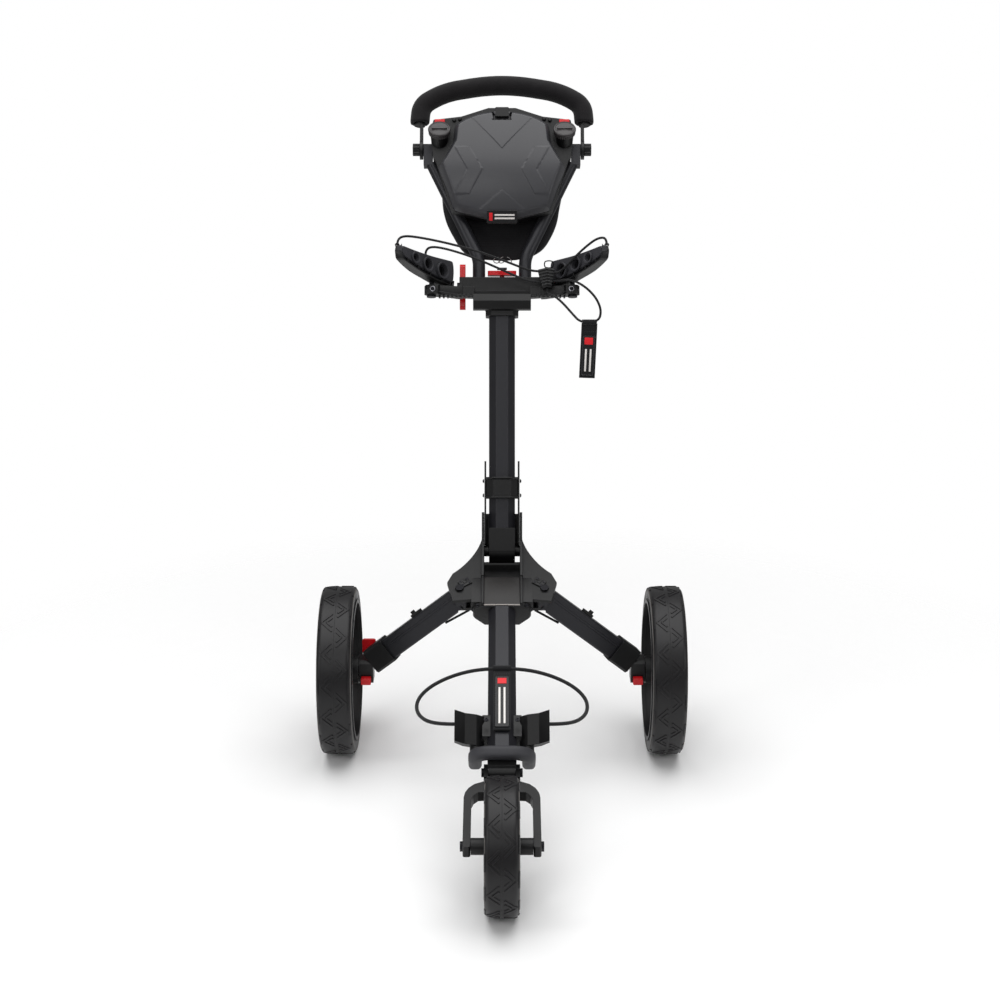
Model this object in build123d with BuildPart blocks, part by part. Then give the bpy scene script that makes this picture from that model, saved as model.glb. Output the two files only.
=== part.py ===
"""Three-wheel golf push cart: folding frame, two bag cradles, console, handle, brake and wheels.

Millimetres and degrees. +Z is up, the bag and the single front wheel are toward -Y, and the
person who pushes stands toward +Y. The origin is on the ground, in the middle of the cart.
"""
from build123d import *
import math
import os

os.makedirs("parts", exist_ok=True)

# Wheels
REAR_RADIUS = 145.0
REAR_WIDTH = 58.0
REAR_X = 282.5
REAR_Y = 122.5
FRONT_RADIUS = 102.5
FRONT_WIDTH = 51.0
AXLE_RADIUS = 6.0

# Frame tubes, bevelled rectangles
TUBE_WIDTH = 45.0
TUBE_DEPTH = 42.0
TUBE_BEVEL = 12.0
TUBE_WALL = 2.5

# Fits
FIT = 0.05
GAP = 0.4
PIN_RADIUS = 5.0


def across(y, z, angle):
    """Plane square to a line that rises from +Y by angle. Its local y points below the line."""
    rise = math.radians(angle)
    return Plane(origin=(0, y, z), x_dir=(1, 0, 0), z_dir=(0, math.cos(rise), math.sin(rise)))


def over(y, z, angle):
    """Plane that holds that line. Its local y runs along the line, its normal points above it."""
    rise = math.radians(angle)
    return Plane(origin=(0, y, z), x_dir=(1, 0, 0), z_dir=(0, -math.sin(rise), math.cos(rise)))


def spot(plane, x, along, above):
    """Point of an over plane: sideways, along the line, above the line."""
    return plane.from_local_coords(Vector(x, along, above))


def side(plane, along, above):
    """The same point in a side view, as (y, z)."""
    point = spot(plane, 0, along, above)
    return (point.Y, point.Z)


def sideways(x, y, z):
    """Plane that faces +X at a point, with local x along +Y and local y up."""
    return Plane(origin=(x, y, z), x_dir=(0, 1, 0), z_dir=(1, 0, 0))


def save(piece, name):
    """Label a finished piece and write its STEP file."""
    piece.part.label = name
    export_step(piece.part, f"parts/{name}.step")


# The lines that the cart is laid out on: start y, start z, slope
LOWER = (-278.5, 144.0, 23.7)
UPPER = (180.3, 355.0, 70.7)
HANDLE = (328.5, 745.0, 62.0)
BAG_SLOPE = 48.5
FORK = (LOWER[0], LOWER[1], 194.7)
FORK_LENGTH = 163.4

LOWER_OVER = over(*LOWER)
LOWER_ACROSS = across(*LOWER)
UPPER_OVER = over(*UPPER)
UPPER_ACROSS = across(*UPPER)
HANDLE_OVER = over(*HANDLE)
HANDLE_ACROSS = across(*HANDLE)
FORK_OVER = over(*FORK)

# Places along the lines
TUBE_FRONT = 16.0
HUB_FRONT = 343.0
HUB_BACK = 411.0
HUB_HALF_WIDTH = 49.0
HUB_HALF_DEPTH = 26.0
MAIN_PIVOT_Y = 177.5
MAIN_PIVOT_Z = 345.0
CHEEK_INSIDE = 31.0
CHEEK_OUTSIDE = 35.0
UPPER_TUBE_START = 30.0
UPPER_TUBE_TOP = 434.0


def tube_points(grow):
    """Corners of the tube's outline, moved outwards by grow."""
    x = TUBE_WIDTH / 2 + grow
    y = TUBE_DEPTH / 2 + grow
    bevel = TUBE_BEVEL + grow * (2 - math.sqrt(2))
    corners = [(x - bevel, y), (x, y - bevel)]
    corners += [(a, -b) for a, b in reversed(corners)]
    return corners + [(-a, -b) for a, b in corners]


def tube_outline(grow=0.0, mode=Mode.ADD):
    """Draw the tube's outline in the sketch that is open."""
    Polygon(*tube_points(grow), align=None, mode=mode)


def tube(plane, start, length):
    """Hollow extrusion along a line."""
    with BuildPart() as extrusion:
        with BuildSketch(plane.offset(start)):
            tube_outline()
            tube_outline(-TUBE_WALL, Mode.SUBTRACT)
        extrude(amount=length)
    return extrusion


# ---------------------------------------------------------------- lower frame
save(tube(LOWER_ACROSS, TUBE_FRONT, HUB_BACK - TUBE_FRONT - 20), "lower_tube")

with BuildPart() as hub_block:
    with BuildSketch(LOWER_ACROSS.offset(HUB_FRONT)):
        Rectangle(2 * HUB_HALF_WIDTH, 2 * HUB_HALF_DEPTH)
    extrude(amount=HUB_BACK - HUB_FRONT)
    front_edges = hub_block.faces().sort_by(Axis(LOWER_ACROSS.origin, LOWER_ACROSS.z_dir))[0].edges()
    chamfer(front_edges, 5)
    with BuildSketch(LOWER_ACROSS.offset(HUB_FRONT)):
        tube_outline(FIT)
    extrude(amount=HUB_BACK - HUB_FRONT - 20 + FIT, mode=Mode.SUBTRACT)
save(hub_block, "hub_block")

# Two cheeks and a floor between them hold the main pivot behind the hub.
CHEEK_SIDE = [
    side(LOWER_OVER, HUB_BACK + 0.05, 27.0),
    side(UPPER_OVER, 6.0, 26.0),
    side(UPPER_OVER, 57.0, 20.0),
    side(UPPER_OVER, 57.0, -22.0),
    side(UPPER_OVER, -6.0, -30.0),
    side(LOWER_OVER, 505.0, -32.0),
    side(LOWER_OVER, HUB_BACK + 0.05, -27.0),
]
FLOOR_SIDE = [
    side(LOWER_OVER, HUB_BACK + 0.05, -21.0),
    side(LOWER_OVER, 470.0, -21.0),
    side(LOWER_OVER, 492.0, -26.5),
    side(LOWER_OVER, 505.0, -32.0),
    side(LOWER_OVER, HUB_BACK + 0.05, -27.0),
]
with BuildPart() as hinge_channel:
    for hand in (-1, 1):
        with BuildSketch(Plane.YZ.offset(hand * CHEEK_INSIDE)):
            Polygon(*CHEEK_SIDE, align=None)
        extrude(amount=hand * (CHEEK_OUTSIDE - CHEEK_INSIDE))
    with BuildSketch(Plane.YZ):
        Polygon(*FLOOR_SIDE, align=None)
    extrude(amount=CHEEK_INSIDE, both=True)
    for hand in (-1, 1):
        with BuildSketch(sideways(hand * CHEEK_INSIDE, MAIN_PIVOT_Y, MAIN_PIVOT_Z)):
            Circle(9)
        extrude(amount=-hand * (CHEEK_INSIDE - TUBE_WIDTH / 2 - GAP))
    with BuildSketch(sideways(0, MAIN_PIVOT_Y, MAIN_PIVOT_Z)):
        Circle(PIN_RADIUS + FIT)
    extrude(amount=CHEEK_OUTSIDE + 5, both=True, mode=Mode.SUBTRACT)
save(hinge_channel, "hinge_channel")

# Shoulder castings flare from the cheeks to the arm pivots.
ARM_PIVOT_X = 72.0
ARM_PIVOT_ALONG = 385.0
LUG_INSIDE = 14.0
LUG_OUTSIDE = 20.0
ARM_PIN_RADIUS = 4.0


def shoulder(hand):
    """Top plate with a flared outline, a short lower lug and the wall that joins them."""
    with BuildPart() as casting:
        with BuildSketch(LOWER_OVER.offset(LUG_INSIDE)):
            with BuildLine():
                Polyline(
                    (hand * (CHEEK_OUTSIDE + 0.05), 508),
                    (hand * (CHEEK_OUTSIDE + 0.05), HUB_BACK + 0.1),
                    (hand * (HUB_HALF_WIDTH + 0.05), HUB_BACK + 0.1),
                    (hand * (HUB_HALF_WIDTH + 0.05), 360),
                    (hand * 83, 356),
                    (hand * 93, 400),
                    (hand * 84, 422),
                )
                Spline(
                    (hand * 84, 422),
                    (hand * 56, 456),
                    (hand * (CHEEK_OUTSIDE + 0.05), 508),
                    tangents=[(-hand * 0.75, 0.66), (-hand * 0.2, 1)],
                )
            make_face()
        extrude(amount=LUG_OUTSIDE - LUG_INSIDE)
        with BuildSketch(LOWER_OVER.offset(-LUG_OUTSIDE)):
            with Locations((hand * ARM_PIVOT_X, ARM_PIVOT_ALONG)):
                Circle(12)
            with Locations((hand * (HUB_HALF_WIDTH + 0.05 + ARM_PIVOT_X) / 2, ARM_PIVOT_ALONG)):
                Rectangle(ARM_PIVOT_X - HUB_HALF_WIDTH - 0.05, 24)
        extrude(amount=LUG_OUTSIDE - LUG_INSIDE)
        with BuildSketch(LOWER_OVER.offset(-LUG_OUTSIDE)):
            with Locations((hand * (HUB_HALF_WIDTH + 2.05), ARM_PIVOT_ALONG)):
                Rectangle(4, 24)
        extrude(amount=2 * LUG_OUTSIDE)
        with BuildSketch(LOWER_OVER):
            with Locations((hand * ARM_PIVOT_X, ARM_PIVOT_ALONG)):
                Circle(ARM_PIN_RADIUS + FIT)
        extrude(amount=LUG_OUTSIDE + 5, both=True, mode=Mode.SUBTRACT)
    return casting


save(shoulder(-1), "shoulder_left")
save(shoulder(1), "shoulder_right")

with BuildPart() as frame_pins:
    for hand in (-1, 1):
        with BuildSketch(LOWER_OVER.offset(-LUG_OUTSIDE)):
            with Locations((hand * ARM_PIVOT_X, ARM_PIVOT_ALONG)):
                Circle(ARM_PIN_RADIUS)
        extrude(amount=2 * LUG_OUTSIDE)
        for start, step in ((LUG_OUTSIDE, 4), (-LUG_OUTSIDE, -4)):
            with BuildSketch(LOWER_OVER.offset(start)):
                with Locations((hand * ARM_PIVOT_X, ARM_PIVOT_ALONG)):
                    RegularPolygon(7.5, 6)
            extrude(amount=step)
        with BuildSketch(sideways(hand * CHEEK_OUTSIDE, MAIN_PIVOT_Y, MAIN_PIVOT_Z)):
            Circle(8)
        extrude(amount=hand * 5)
    with BuildSketch(sideways(0, MAIN_PIVOT_Y, MAIN_PIVOT_Z)):
        Circle(PIN_RADIUS)
    extrude(amount=CHEEK_OUTSIDE, both=True)
save(frame_pins, "frame_pins")

# ---------------------------------------------------------------- front fork and its block
FORK_HEAD_INSIDE = 21.4
FORK_HEAD_OUTSIDE = 28.0
with BuildPart() as fork_block:
    with BuildSketch(Plane.YZ.offset(-21)):
        Polygon(
            side(LOWER_OVER, TUBE_FRONT - 0.05, 21),
            side(LOWER_OVER, TUBE_FRONT - 0.05, -21),
            side(LOWER_OVER, 0, -15),
            side(LOWER_OVER, 0, 15),
            align=None,
        )
        with Locations((LOWER[0], LOWER[1])):
            Circle(15)
    extrude(amount=42)
    with BuildSketch(LOWER_ACROSS.offset(TUBE_FRONT - 1)):
        tube_outline(-TUBE_WALL - FIT)
    extrude(amount=31)
    with BuildSketch(sideways(0, LOWER[0], LOWER[1])):
        Circle(PIN_RADIUS + FIT)
    extrude(amount=30, both=True, mode=Mode.SUBTRACT)
save(fork_block, "fork_block")

FORK_ARM_INSIDE = 46.5
FORK_ARM_OUTSIDE = 58.0
with BuildPart() as front_fork:
    with BuildSketch(FORK_OVER.offset(-9)):
        with BuildLine():
            Polyline(
                (0, 22), (FORK_HEAD_OUTSIDE, 22), (FORK_HEAD_OUTSIDE, 30), (42, 36), (51, 45), (56, 55),
                (FORK_ARM_OUTSIDE, 66), (FORK_ARM_OUTSIDE, FORK_LENGTH - 12),
                (FORK_ARM_INSIDE, FORK_LENGTH - 12), (FORK_ARM_INSIDE, 72), (43, 62), (36, 55), (0, 52),
            )
            mirror(about=Plane.YZ)
        make_face()
    extrude(amount=18)
    for hand in (-1, 1):
        with BuildSketch(FORK_OVER.offset(-12)):
            with Locations((hand * (FORK_HEAD_INSIDE + FORK_HEAD_OUTSIDE) / 2, 11)):
                Rectangle(FORK_HEAD_OUTSIDE - FORK_HEAD_INSIDE, 24)
        extrude(amount=24)
        with BuildSketch(sideways(hand * FORK_HEAD_INSIDE, FORK[0], FORK[1])):
            Circle(13)
        extrude(amount=hand * (FORK_HEAD_OUTSIDE - FORK_HEAD_INSIDE))
    with BuildSketch(sideways(0, FORK[0], FORK[1])):
        Circle(PIN_RADIUS + FIT)
    extrude(amount=40, both=True, mode=Mode.SUBTRACT)
save(front_fork, "front_fork")

FRONT_AXLE_Y = spot(FORK_OVER, 0, FORK_LENGTH, 0).Y
FRONT_AXLE_Z = spot(FORK_OVER, 0, FORK_LENGTH, 0).Z
with BuildPart() as fork_clamps:
    for hand in (-1, 1):
        centre = hand * (FORK_ARM_INSIDE + FORK_ARM_OUTSIDE) / 2
        with BuildSketch(FORK_OVER.offset(-10)):
            with Locations((centre, FORK_LENGTH)):
                RectangleRounded(FORK_ARM_OUTSIDE - FORK_ARM_INSIDE, 23.9, 3)
        extrude(amount=20)
    with BuildSketch(sideways(0, FRONT_AXLE_Y, FRONT_AXLE_Z)):
        Circle(4 + FIT)
    extrude(amount=70, both=True, mode=Mode.SUBTRACT)
save(fork_clamps, "fork_clamps")

with BuildPart() as fork_bolts:
    with BuildSketch(sideways(0, FRONT_AXLE_Y, FRONT_AXLE_Z)):
        Circle(4)
    extrude(amount=FORK_ARM_OUTSIDE, both=True)
    with BuildSketch(sideways(0, FORK[0], FORK[1])):
        Circle(PIN_RADIUS)
    extrude(amount=FORK_HEAD_OUTSIDE, both=True)
    for hand in (-1, 1):
        with BuildSketch(sideways(hand * FORK_ARM_OUTSIDE, FRONT_AXLE_Y, FRONT_AXLE_Z)):
            RegularPolygon(7.5, 6)
        extrude(amount=hand * 4)
        with BuildSketch(sideways(hand * FORK_HEAD_OUTSIDE, FORK[0], FORK[1])):
            Circle(7)
        extrude(amount=hand * 4)
save(fork_bolts, "fork_bolts")


# ---------------------------------------------------------------- wheels
def tyre(x, y, z, radius, width, thickness):
    """Solid foam tyre with rounded shoulders."""
    with BuildPart() as ring:
        with BuildSketch(Plane(origin=(x, y, z), x_dir=(1, 0, 0), z_dir=(0, -1, 0))) as section:
            with Locations((0, radius - thickness / 2)):
                Rectangle(width, thickness)
            fillet(section.vertices().group_by(Axis.Y)[-1], 9)
            fillet(section.vertices().group_by(Axis.Y)[0], 2)
        revolve(axis=Axis((x, y, z), (1, 0, 0)))
    return ring


def rim(x, y, z, radius, width, hub, bore, spokes):
    """Moulded rim, tapered spokes and hub; hub is its radius, inner end and outer end along X."""
    hub_radius, hub_start, hub_end = hub
    with BuildPart() as wheel:
        with BuildSketch(sideways(x - width / 2, y, z)):
            Circle(radius)
            Circle(radius - 5, mode=Mode.SUBTRACT)
        extrude(amount=width)
        with BuildSketch(sideways(hub_start, y, z)):
            Circle(hub_radius)
        extrude(amount=hub_end - hub_start)
        with BuildSketch(sideways(x - 5, y, z)):
            with PolarLocations(0, spokes):
                Polygon(
                    (hub_radius - 4, -9), (radius - 3, -6), (radius - 3, 6), (hub_radius - 4, 9),
                    align=None,
                )
        extrude(amount=10)
        with BuildSketch(sideways(hub_start - 1, y, z)):
            Circle(bore)
        extrude(amount=hub_end - hub_start + 2, mode=Mode.SUBTRACT)
    return wheel


FRONT_TYRE = 17.0
REAR_TYRE = 21.0
FRONT_HUB_END = FORK_ARM_INSIDE - GAP
save(tyre(0, FRONT_AXLE_Y, FRONT_AXLE_Z, FRONT_RADIUS, FRONT_WIDTH, FRONT_TYRE), "front_tyre")
save(
    rim(
        0, FRONT_AXLE_Y, FRONT_AXLE_Z, FRONT_RADIUS - FRONT_TYRE - FIT, FRONT_WIDTH - 4,
        (12.5, -FRONT_HUB_END, FRONT_HUB_END), 4 + FIT, 6,
    ),
    "front_rim",
)

# ---------------------------------------------------------------- rear arms
ARM_DEPTH = 38.0
ARM_THICKNESS = 24.0
ARM_START = 4.0
ARM_END = 200.0
KNUCKLE_RADIUS = 16.0
AXLE_BLOCK_INSIDE = 224.0
AXLE_BLOCK_OUTSIDE = 248.6
BRAKE_Y = 150.0
BRAKE_Z = 168.0


def arm_plane(hand):
    """Plane square to a rear arm: local x points back, local y toward the arm's upper edge or lower."""
    root = spot(LOWER_OVER, hand * ARM_PIVOT_X, ARM_PIVOT_ALONG, 0)
    end = Vector(hand * 235.0, REAR_Y, REAR_RADIUS + 10)
    run = end - root
    return Plane(origin=root, x_dir=(-hand * run.Y, hand * run.X, 0), z_dir=run)


def rear_arm(hand):
    """Grooved box extrusion with a turned knuckle at its inner end."""
    plane = arm_plane(hand)
    with BuildPart() as arm:
        with BuildSketch(plane.offset(ARM_START)) as outline:
            Rectangle(ARM_THICKNESS, ARM_DEPTH)
            chamfer(outline.vertices(), 2.5)
            with Locations((-ARM_THICKNESS / 2, hand * 9), (-ARM_THICKNESS / 2, hand * 5)):
                Rectangle(1.6, 1.4, mode=Mode.SUBTRACT)
        extrude(amount=ARM_END - ARM_START)
        with BuildSketch(plane.offset(60)):
            Rectangle(ARM_THICKNESS - 6, ARM_DEPTH - 6)
        extrude(amount=ARM_END, mode=Mode.SUBTRACT)
        with BuildSketch(LOWER_OVER.offset(LUG_INSIDE - GAP)):
            with Locations((hand * ARM_PIVOT_X, ARM_PIVOT_ALONG)):
                Rectangle(110, 110)
        extrude(amount=60, mode=Mode.SUBTRACT)
        with BuildSketch(LOWER_OVER.offset(-LUG_INSIDE + GAP)):
            with Locations((hand * ARM_PIVOT_X, ARM_PIVOT_ALONG)):
                Circle(KNUCKLE_RADIUS)
            with Locations((hand * (ARM_PIVOT_X - KNUCKLE_RADIUS), ARM_PIVOT_ALONG)):
                Rectangle(2 * KNUCKLE_RADIUS + 4, 60)
        extrude(amount=-60, mode=Mode.SUBTRACT)
        with BuildSketch(LOWER_OVER.offset(-LUG_INSIDE + GAP)):
            with Locations((hand * ARM_PIVOT_X, ARM_PIVOT_ALONG)):
                Circle(KNUCKLE_RADIUS)
        extrude(amount=2 * (LUG_INSIDE - GAP))
        with BuildSketch(LOWER_OVER):
            with Locations((hand * ARM_PIVOT_X, ARM_PIVOT_ALONG)):
                Circle(ARM_PIN_RADIUS + FIT)
        extrude(amount=70, both=True, mode=Mode.SUBTRACT)
    return arm


BUTTON_X = 236.0
BUTTON_WIDTH = 17.0
BUTTON_Z = 134.0
BUTTON_HEIGHT = 12.0
BUTTON_TRAVEL = 3.0


def axle_block(hand):
    """Clamp that holds the arm's outer end and carries the stub axle and the release button."""
    plane = arm_plane(hand)
    middle = hand * (AXLE_BLOCK_INSIDE + AXLE_BLOCK_OUTSIDE) / 2
    with BuildPart() as block:
        with BuildSketch(plane.offset(166)) as sleeve:
            Rectangle(ARM_THICKNESS + 8, ARM_DEPTH + 7)
            chamfer(sleeve.vertices(), 4)
        extrude(amount=42)
        with BuildSketch(sideways(middle, REAR_Y, REAR_RADIUS + 2)) as housing:
            Rectangle(38, 42)
            chamfer(housing.vertices(), 5)
        extrude(amount=(AXLE_BLOCK_OUTSIDE - AXLE_BLOCK_INSIDE) / 2, both=True)
        if hand < 0:
            with BuildSketch(sideways(hand * 217, (REAR_Y + BRAKE_Y) / 2, BRAKE_Z)):
                Rectangle(BRAKE_Y - REAR_Y, 12)
                with Locations(((BRAKE_Y - REAR_Y) / 2, 0)):
                    Circle(6.5)
            extrude(amount=5, both=True)
        with BuildSketch(plane.offset(100)):
            Rectangle(ARM_THICKNESS + 2 * FIT, ARM_DEPTH + 2 * FIT)
        extrude(amount=ARM_END - 100 + FIT, mode=Mode.SUBTRACT)
        with BuildSketch(sideways(hand * AXLE_BLOCK_INSIDE, REAR_Y, REAR_RADIUS)):
            Circle(AXLE_RADIUS + FIT)
        extrude(amount=hand * 30, mode=Mode.SUBTRACT)
        with BuildSketch(Plane.XZ.offset(-REAR_Y + 6)):
            with Locations((hand * BUTTON_X, BUTTON_Z)):
                Rectangle(BUTTON_WIDTH + 2 * GAP, BUTTON_HEIGHT + 2 * GAP)
        extrude(amount=30, mode=Mode.SUBTRACT)
        with BuildSketch(sideways(hand * 217, BRAKE_Y, BRAKE_Z)):
            Circle(3 + FIT)
        extrude(amount=30, both=True, mode=Mode.SUBTRACT)
    return block


def rear_axle(hand):
    """Stub axle from the block through the wheel, with a flat head outside the hub."""
    with BuildPart() as axle:
        with BuildSketch(sideways(hand * AXLE_BLOCK_INSIDE, REAR_Y, REAR_RADIUS)):
            Circle(AXLE_RADIUS)
        extrude(amount=hand * 81)
        with BuildSketch(sideways(hand * (AXLE_BLOCK_INSIDE + 81), REAR_Y, REAR_RADIUS)):
            Circle(9)
        extrude(amount=hand * 3)
    return axle


def release_button(hand):
    """Push button under the axle block that frees the wheel."""
    with BuildPart() as button:
        with BuildSketch(Plane.XZ.offset(-REAR_Y + 6 + BUTTON_TRAVEL + 1)):
            with Locations((hand * BUTTON_X, BUTTON_Z)):
                RectangleRounded(BUTTON_WIDTH, BUTTON_HEIGHT, 2)
        extrude(amount=19)
    return button


def arm_fittings(hand):
    """Stop stud on the arm's upper edge, latch rod under the knuckle and, on the left, the brake pin."""
    plane = arm_plane(hand)
    with BuildPart() as fittings:
        stud = Plane(
            origin=plane.from_local_coords(Vector(0, hand * ARM_DEPTH / 2, 84)),
            x_dir=plane.z_dir,
            z_dir=plane.y_dir * hand,
        )
        with BuildSketch(stud):
            RectangleRounded(22, 12, 4)
        extrude(amount=5)
        with BuildSketch(stud.offset(5)):
            with Locations((4, 0)):
                Circle(4)
        extrude(amount=5)
        rod_start = plane.from_local_coords(Vector(0, -hand * (ARM_DEPTH / 2 + 2.5), 52))
        rod_end = spot(LOWER_OVER, hand * 56, ARM_PIVOT_ALONG, -31)
        with BuildSketch(Plane(origin=rod_start, z_dir=rod_end - rod_start)):
            Circle(2)
        extrude(amount=(rod_end - rod_start).length)
        if hand < 0:
            with BuildSketch(sideways(hand * 217, BRAKE_Y, BRAKE_Z)):
                Circle(3)
            extrude(amount=15, both=True)
    return fittings


REAR_HUB_START = AXLE_BLOCK_OUTSIDE + 0.8
REAR_HUB_END = AXLE_BLOCK_INSIDE + 81 - GAP
for name, hand in (("left", -1), ("right", 1)):
    save(rear_arm(hand), f"rear_arm_{name}")
    save(axle_block(hand), f"axle_block_{name}")
    save(rear_axle(hand), f"rear_axle_{name}")
    save(release_button(hand), f"release_button_{name}")
    save(arm_fittings(hand), f"arm_fittings_{name}")
    save(
        tyre(hand * REAR_X, REAR_Y, REAR_RADIUS, REAR_RADIUS, REAR_WIDTH, REAR_TYRE),
        f"rear_tyre_{name}",
    )
    hub_ends = sorted((hand * REAR_HUB_START, hand * REAR_HUB_END))
    save(
        rim(
            hand * REAR_X, REAR_Y, REAR_RADIUS, REAR_RADIUS - REAR_TYRE - FIT, REAR_WIDTH - 4,
            (24, *hub_ends), AXLE_RADIUS + FIT, 6,
        ),
        f"rear_rim_{name}",
    )

with BuildPart() as brake_pedal:
    with BuildSketch(Plane.XY.offset(BRAKE_Z - 7)):
        with Locations((-219, BRAKE_Y + 25)):
            RectangleRounded(54, 34, 5)
    extrude(amount=8)
    with BuildSketch(Plane.XZ.offset(-(BRAKE_Y + 8))):
        with Locations((-234, BRAKE_Z + 6)):
            RectangleRounded(24, 26, 4)
    extrude(amount=-5)
    for x in (-207.8, -226.2):
        with BuildSketch(sideways(x, BRAKE_Y, BRAKE_Z)):
            Circle(7)
            with Locations((7, -3)):
                Rectangle(14, 8)
        extrude(amount=3.6, both=True)
    with BuildSketch(sideways(-217, BRAKE_Y, BRAKE_Z)):
        Circle(3 + FIT)
    extrude(amount=20, both=True, mode=Mode.SUBTRACT)
    with BuildSketch(sideways(-217, BRAKE_Y, BRAKE_Z)):
        Circle(8)
    extrude(amount=5.4, both=True, mode=Mode.SUBTRACT)
save(brake_pedal, "brake_pedal")

# ---------------------------------------------------------------- lower bag cradle
FOOT = across(-205.2, 176.2, BAG_SLOPE)
FOOT_HEIGHT = -48.0
FOOT_BAR = 21.0
WING = [(28, 8), (40, 20), (58, 28), (74, 46), (74, 34), (62, 16), (44, 4), (31, -10)]
with BuildPart() as lower_bracket:
    with BuildSketch(LOWER_ACROSS.offset(62)):
        with Locations((0, 7)):
            Rectangle(62, 42)
        tube_outline(FIT, Mode.SUBTRACT)
        with Locations((0, -15)):
            Rectangle(24, 20, mode=Mode.SUBTRACT)
    extrude(amount=44)
    for hand in (-1, 1):
        with BuildSketch(FOOT.offset(-25)):
            Polygon(*[(hand * x, -n) for x, n in WING], align=None)
        extrude(amount=50)
        with BuildSketch(FOOT.offset(FOOT_HEIGHT + FOOT_BAR / 2)):
            with Locations((hand * 42, -10)):
                Circle(8.5)
        extrude(amount=20)
save(lower_bracket, "lower_bracket")

with BuildPart() as bag_foot:
    with BuildLine(FOOT.offset(FOOT_HEIGHT)) as foot_path:
        FilletPolyline((-42, 2), (-42, -58), (42, -58), (42, 2), radius=26)
    with BuildSketch(Plane(origin=foot_path.line @ 0, x_dir=FOOT.z_dir, z_dir=foot_path.line % 0)):
        RectangleRounded(FOOT_BAR, FOOT_BAR, 7)
    sweep()
save(bag_foot, "bag_foot")


# ---------------------------------------------------------------- cords
def cord(points, diameter):
    """Tube along straight runs joined by the largest arcs that the runs allow."""
    points = [Vector(*p) for p in points]
    radii = []
    for before, corner, after in zip(points, points[1:], points[2:]):
        turn = math.radians((corner - before).get_angle(after - corner))
        shorter = min((corner - before).length, (after - corner).length)
        radii.append(0.45 * shorter / math.tan(turn / 2))
    with BuildPart() as piece:
        with BuildLine() as route:
            FilletPolyline(*points, radius=radii)
        with BuildSketch(Plane(origin=route.line @ 0, z_dir=route.line % 0)):
            Circle(diameter / 2)
        sweep()
    length = sum(edge.length for edge in route.edges())
    print(f"length {length:.0f} volume {piece.part.volume / (math.pi * diameter**2 / 4 * length):.4f}")
    print("radii", [round(r) for r in radii])
    return piece


def mirrored(points):
    """The half route given, then the same points on the other side, in order."""
    return points + [(-x, y, z) for x, y, z in reversed(points)]


LOWER_CORD = 6.0
LOWER_CORD_ROUTE = mirrored(
    [
        (-74.05, -234, 205.6), (-96, -234, 205.6), (-121, -212, 201), (-136, -180, 202), (-135, -150, 211),
        (-114, -130, 225), (-75, -117, 239), (-30, -110.4, 246.2),
    ]
)
save(cord(LOWER_CORD_ROUTE, LOWER_CORD), "lower_cord")

TAB_WIDTH = 27.0
TAB_THICKNESS = 3.0
LOWER_TAB_ALONG = 195.0
with BuildPart() as lower_tab:
    with BuildSketch(LOWER_OVER.offset(TUBE_DEPTH / 2 + 0.1)):
        with Locations((0, 130)):
            Rectangle(TAB_WIDTH, 130)
    extrude(amount=TAB_THICKNESS)
    with BuildSketch(LOWER_OVER.offset(TUBE_DEPTH / 2 + 0.1)):
        with Locations((0, LOWER_TAB_ALONG)):
            Rectangle(TAB_WIDTH, 14)
    extrude(amount=10)
    with BuildSketch(sideways(-TAB_WIDTH, *side(LOWER_OVER, LOWER_TAB_ALONG, 26))):
        Circle(LOWER_CORD / 2 + 0.4)
    extrude(amount=2 * TAB_WIDTH, mode=Mode.SUBTRACT)
save(lower_tab, "lower_cord_tab")

# ---------------------------------------------------------------- upper frame
save(tube(UPPER_ACROSS, UPPER_TUBE_START, UPPER_TUBE_TOP - UPPER_TUBE_START), "upper_tube")

MAIN_PIVOT_ALONG = -10.4
with BuildPart() as tube_foot:
    with BuildSketch(Plane.YZ):
        Polygon(
            side(UPPER_OVER, UPPER_TUBE_START - 0.05, 21),
            side(UPPER_OVER, UPPER_TUBE_START - 0.05, -21),
            side(UPPER_OVER, MAIN_PIVOT_ALONG, -21),
            side(UPPER_OVER, MAIN_PIVOT_ALONG, 21),
            align=None,
        )
        with Locations((MAIN_PIVOT_Y, MAIN_PIVOT_Z)):
            Circle(21)
    extrude(amount=TUBE_WIDTH / 2, both=True)
    with BuildSketch(UPPER_ACROSS.offset(UPPER_TUBE_START - 1)):
        tube_outline(-TUBE_WALL - FIT)
    extrude(amount=31)
    with BuildSketch(sideways(0, MAIN_PIVOT_Y, MAIN_PIVOT_Z)):
        Circle(PIN_RADIUS + FIT)
    extrude(amount=40, both=True, mode=Mode.SUBTRACT)
save(tube_foot, "tube_foot")

COLLAR_START = 82.0
COLLAR_LENGTH = 35.0
RAIL_INSIDE = 27.5
RAIL_OUTSIDE = 30.5
with BuildPart() as lock_collar:
    with BuildSketch(UPPER_ACROSS.offset(COLLAR_START)) as collar_outline:
        Rectangle(2 * RAIL_OUTSIDE - 8, 50)
        chamfer(collar_outline.vertices(), 11)
        Rectangle(2 * RAIL_OUTSIDE, 14)
        tube_outline(GAP, Mode.SUBTRACT)
    extrude(amount=COLLAR_LENGTH)
    for hand in (-1, 1):
        with BuildSketch(UPPER_ACROSS.offset(2)):
            with Locations((hand * (RAIL_INSIDE + RAIL_OUTSIDE) / 2, 0)):
                Rectangle(RAIL_OUTSIDE - RAIL_INSIDE, 18)
        extrude(amount=144)
save(lock_collar, "lock_collar")

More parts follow.
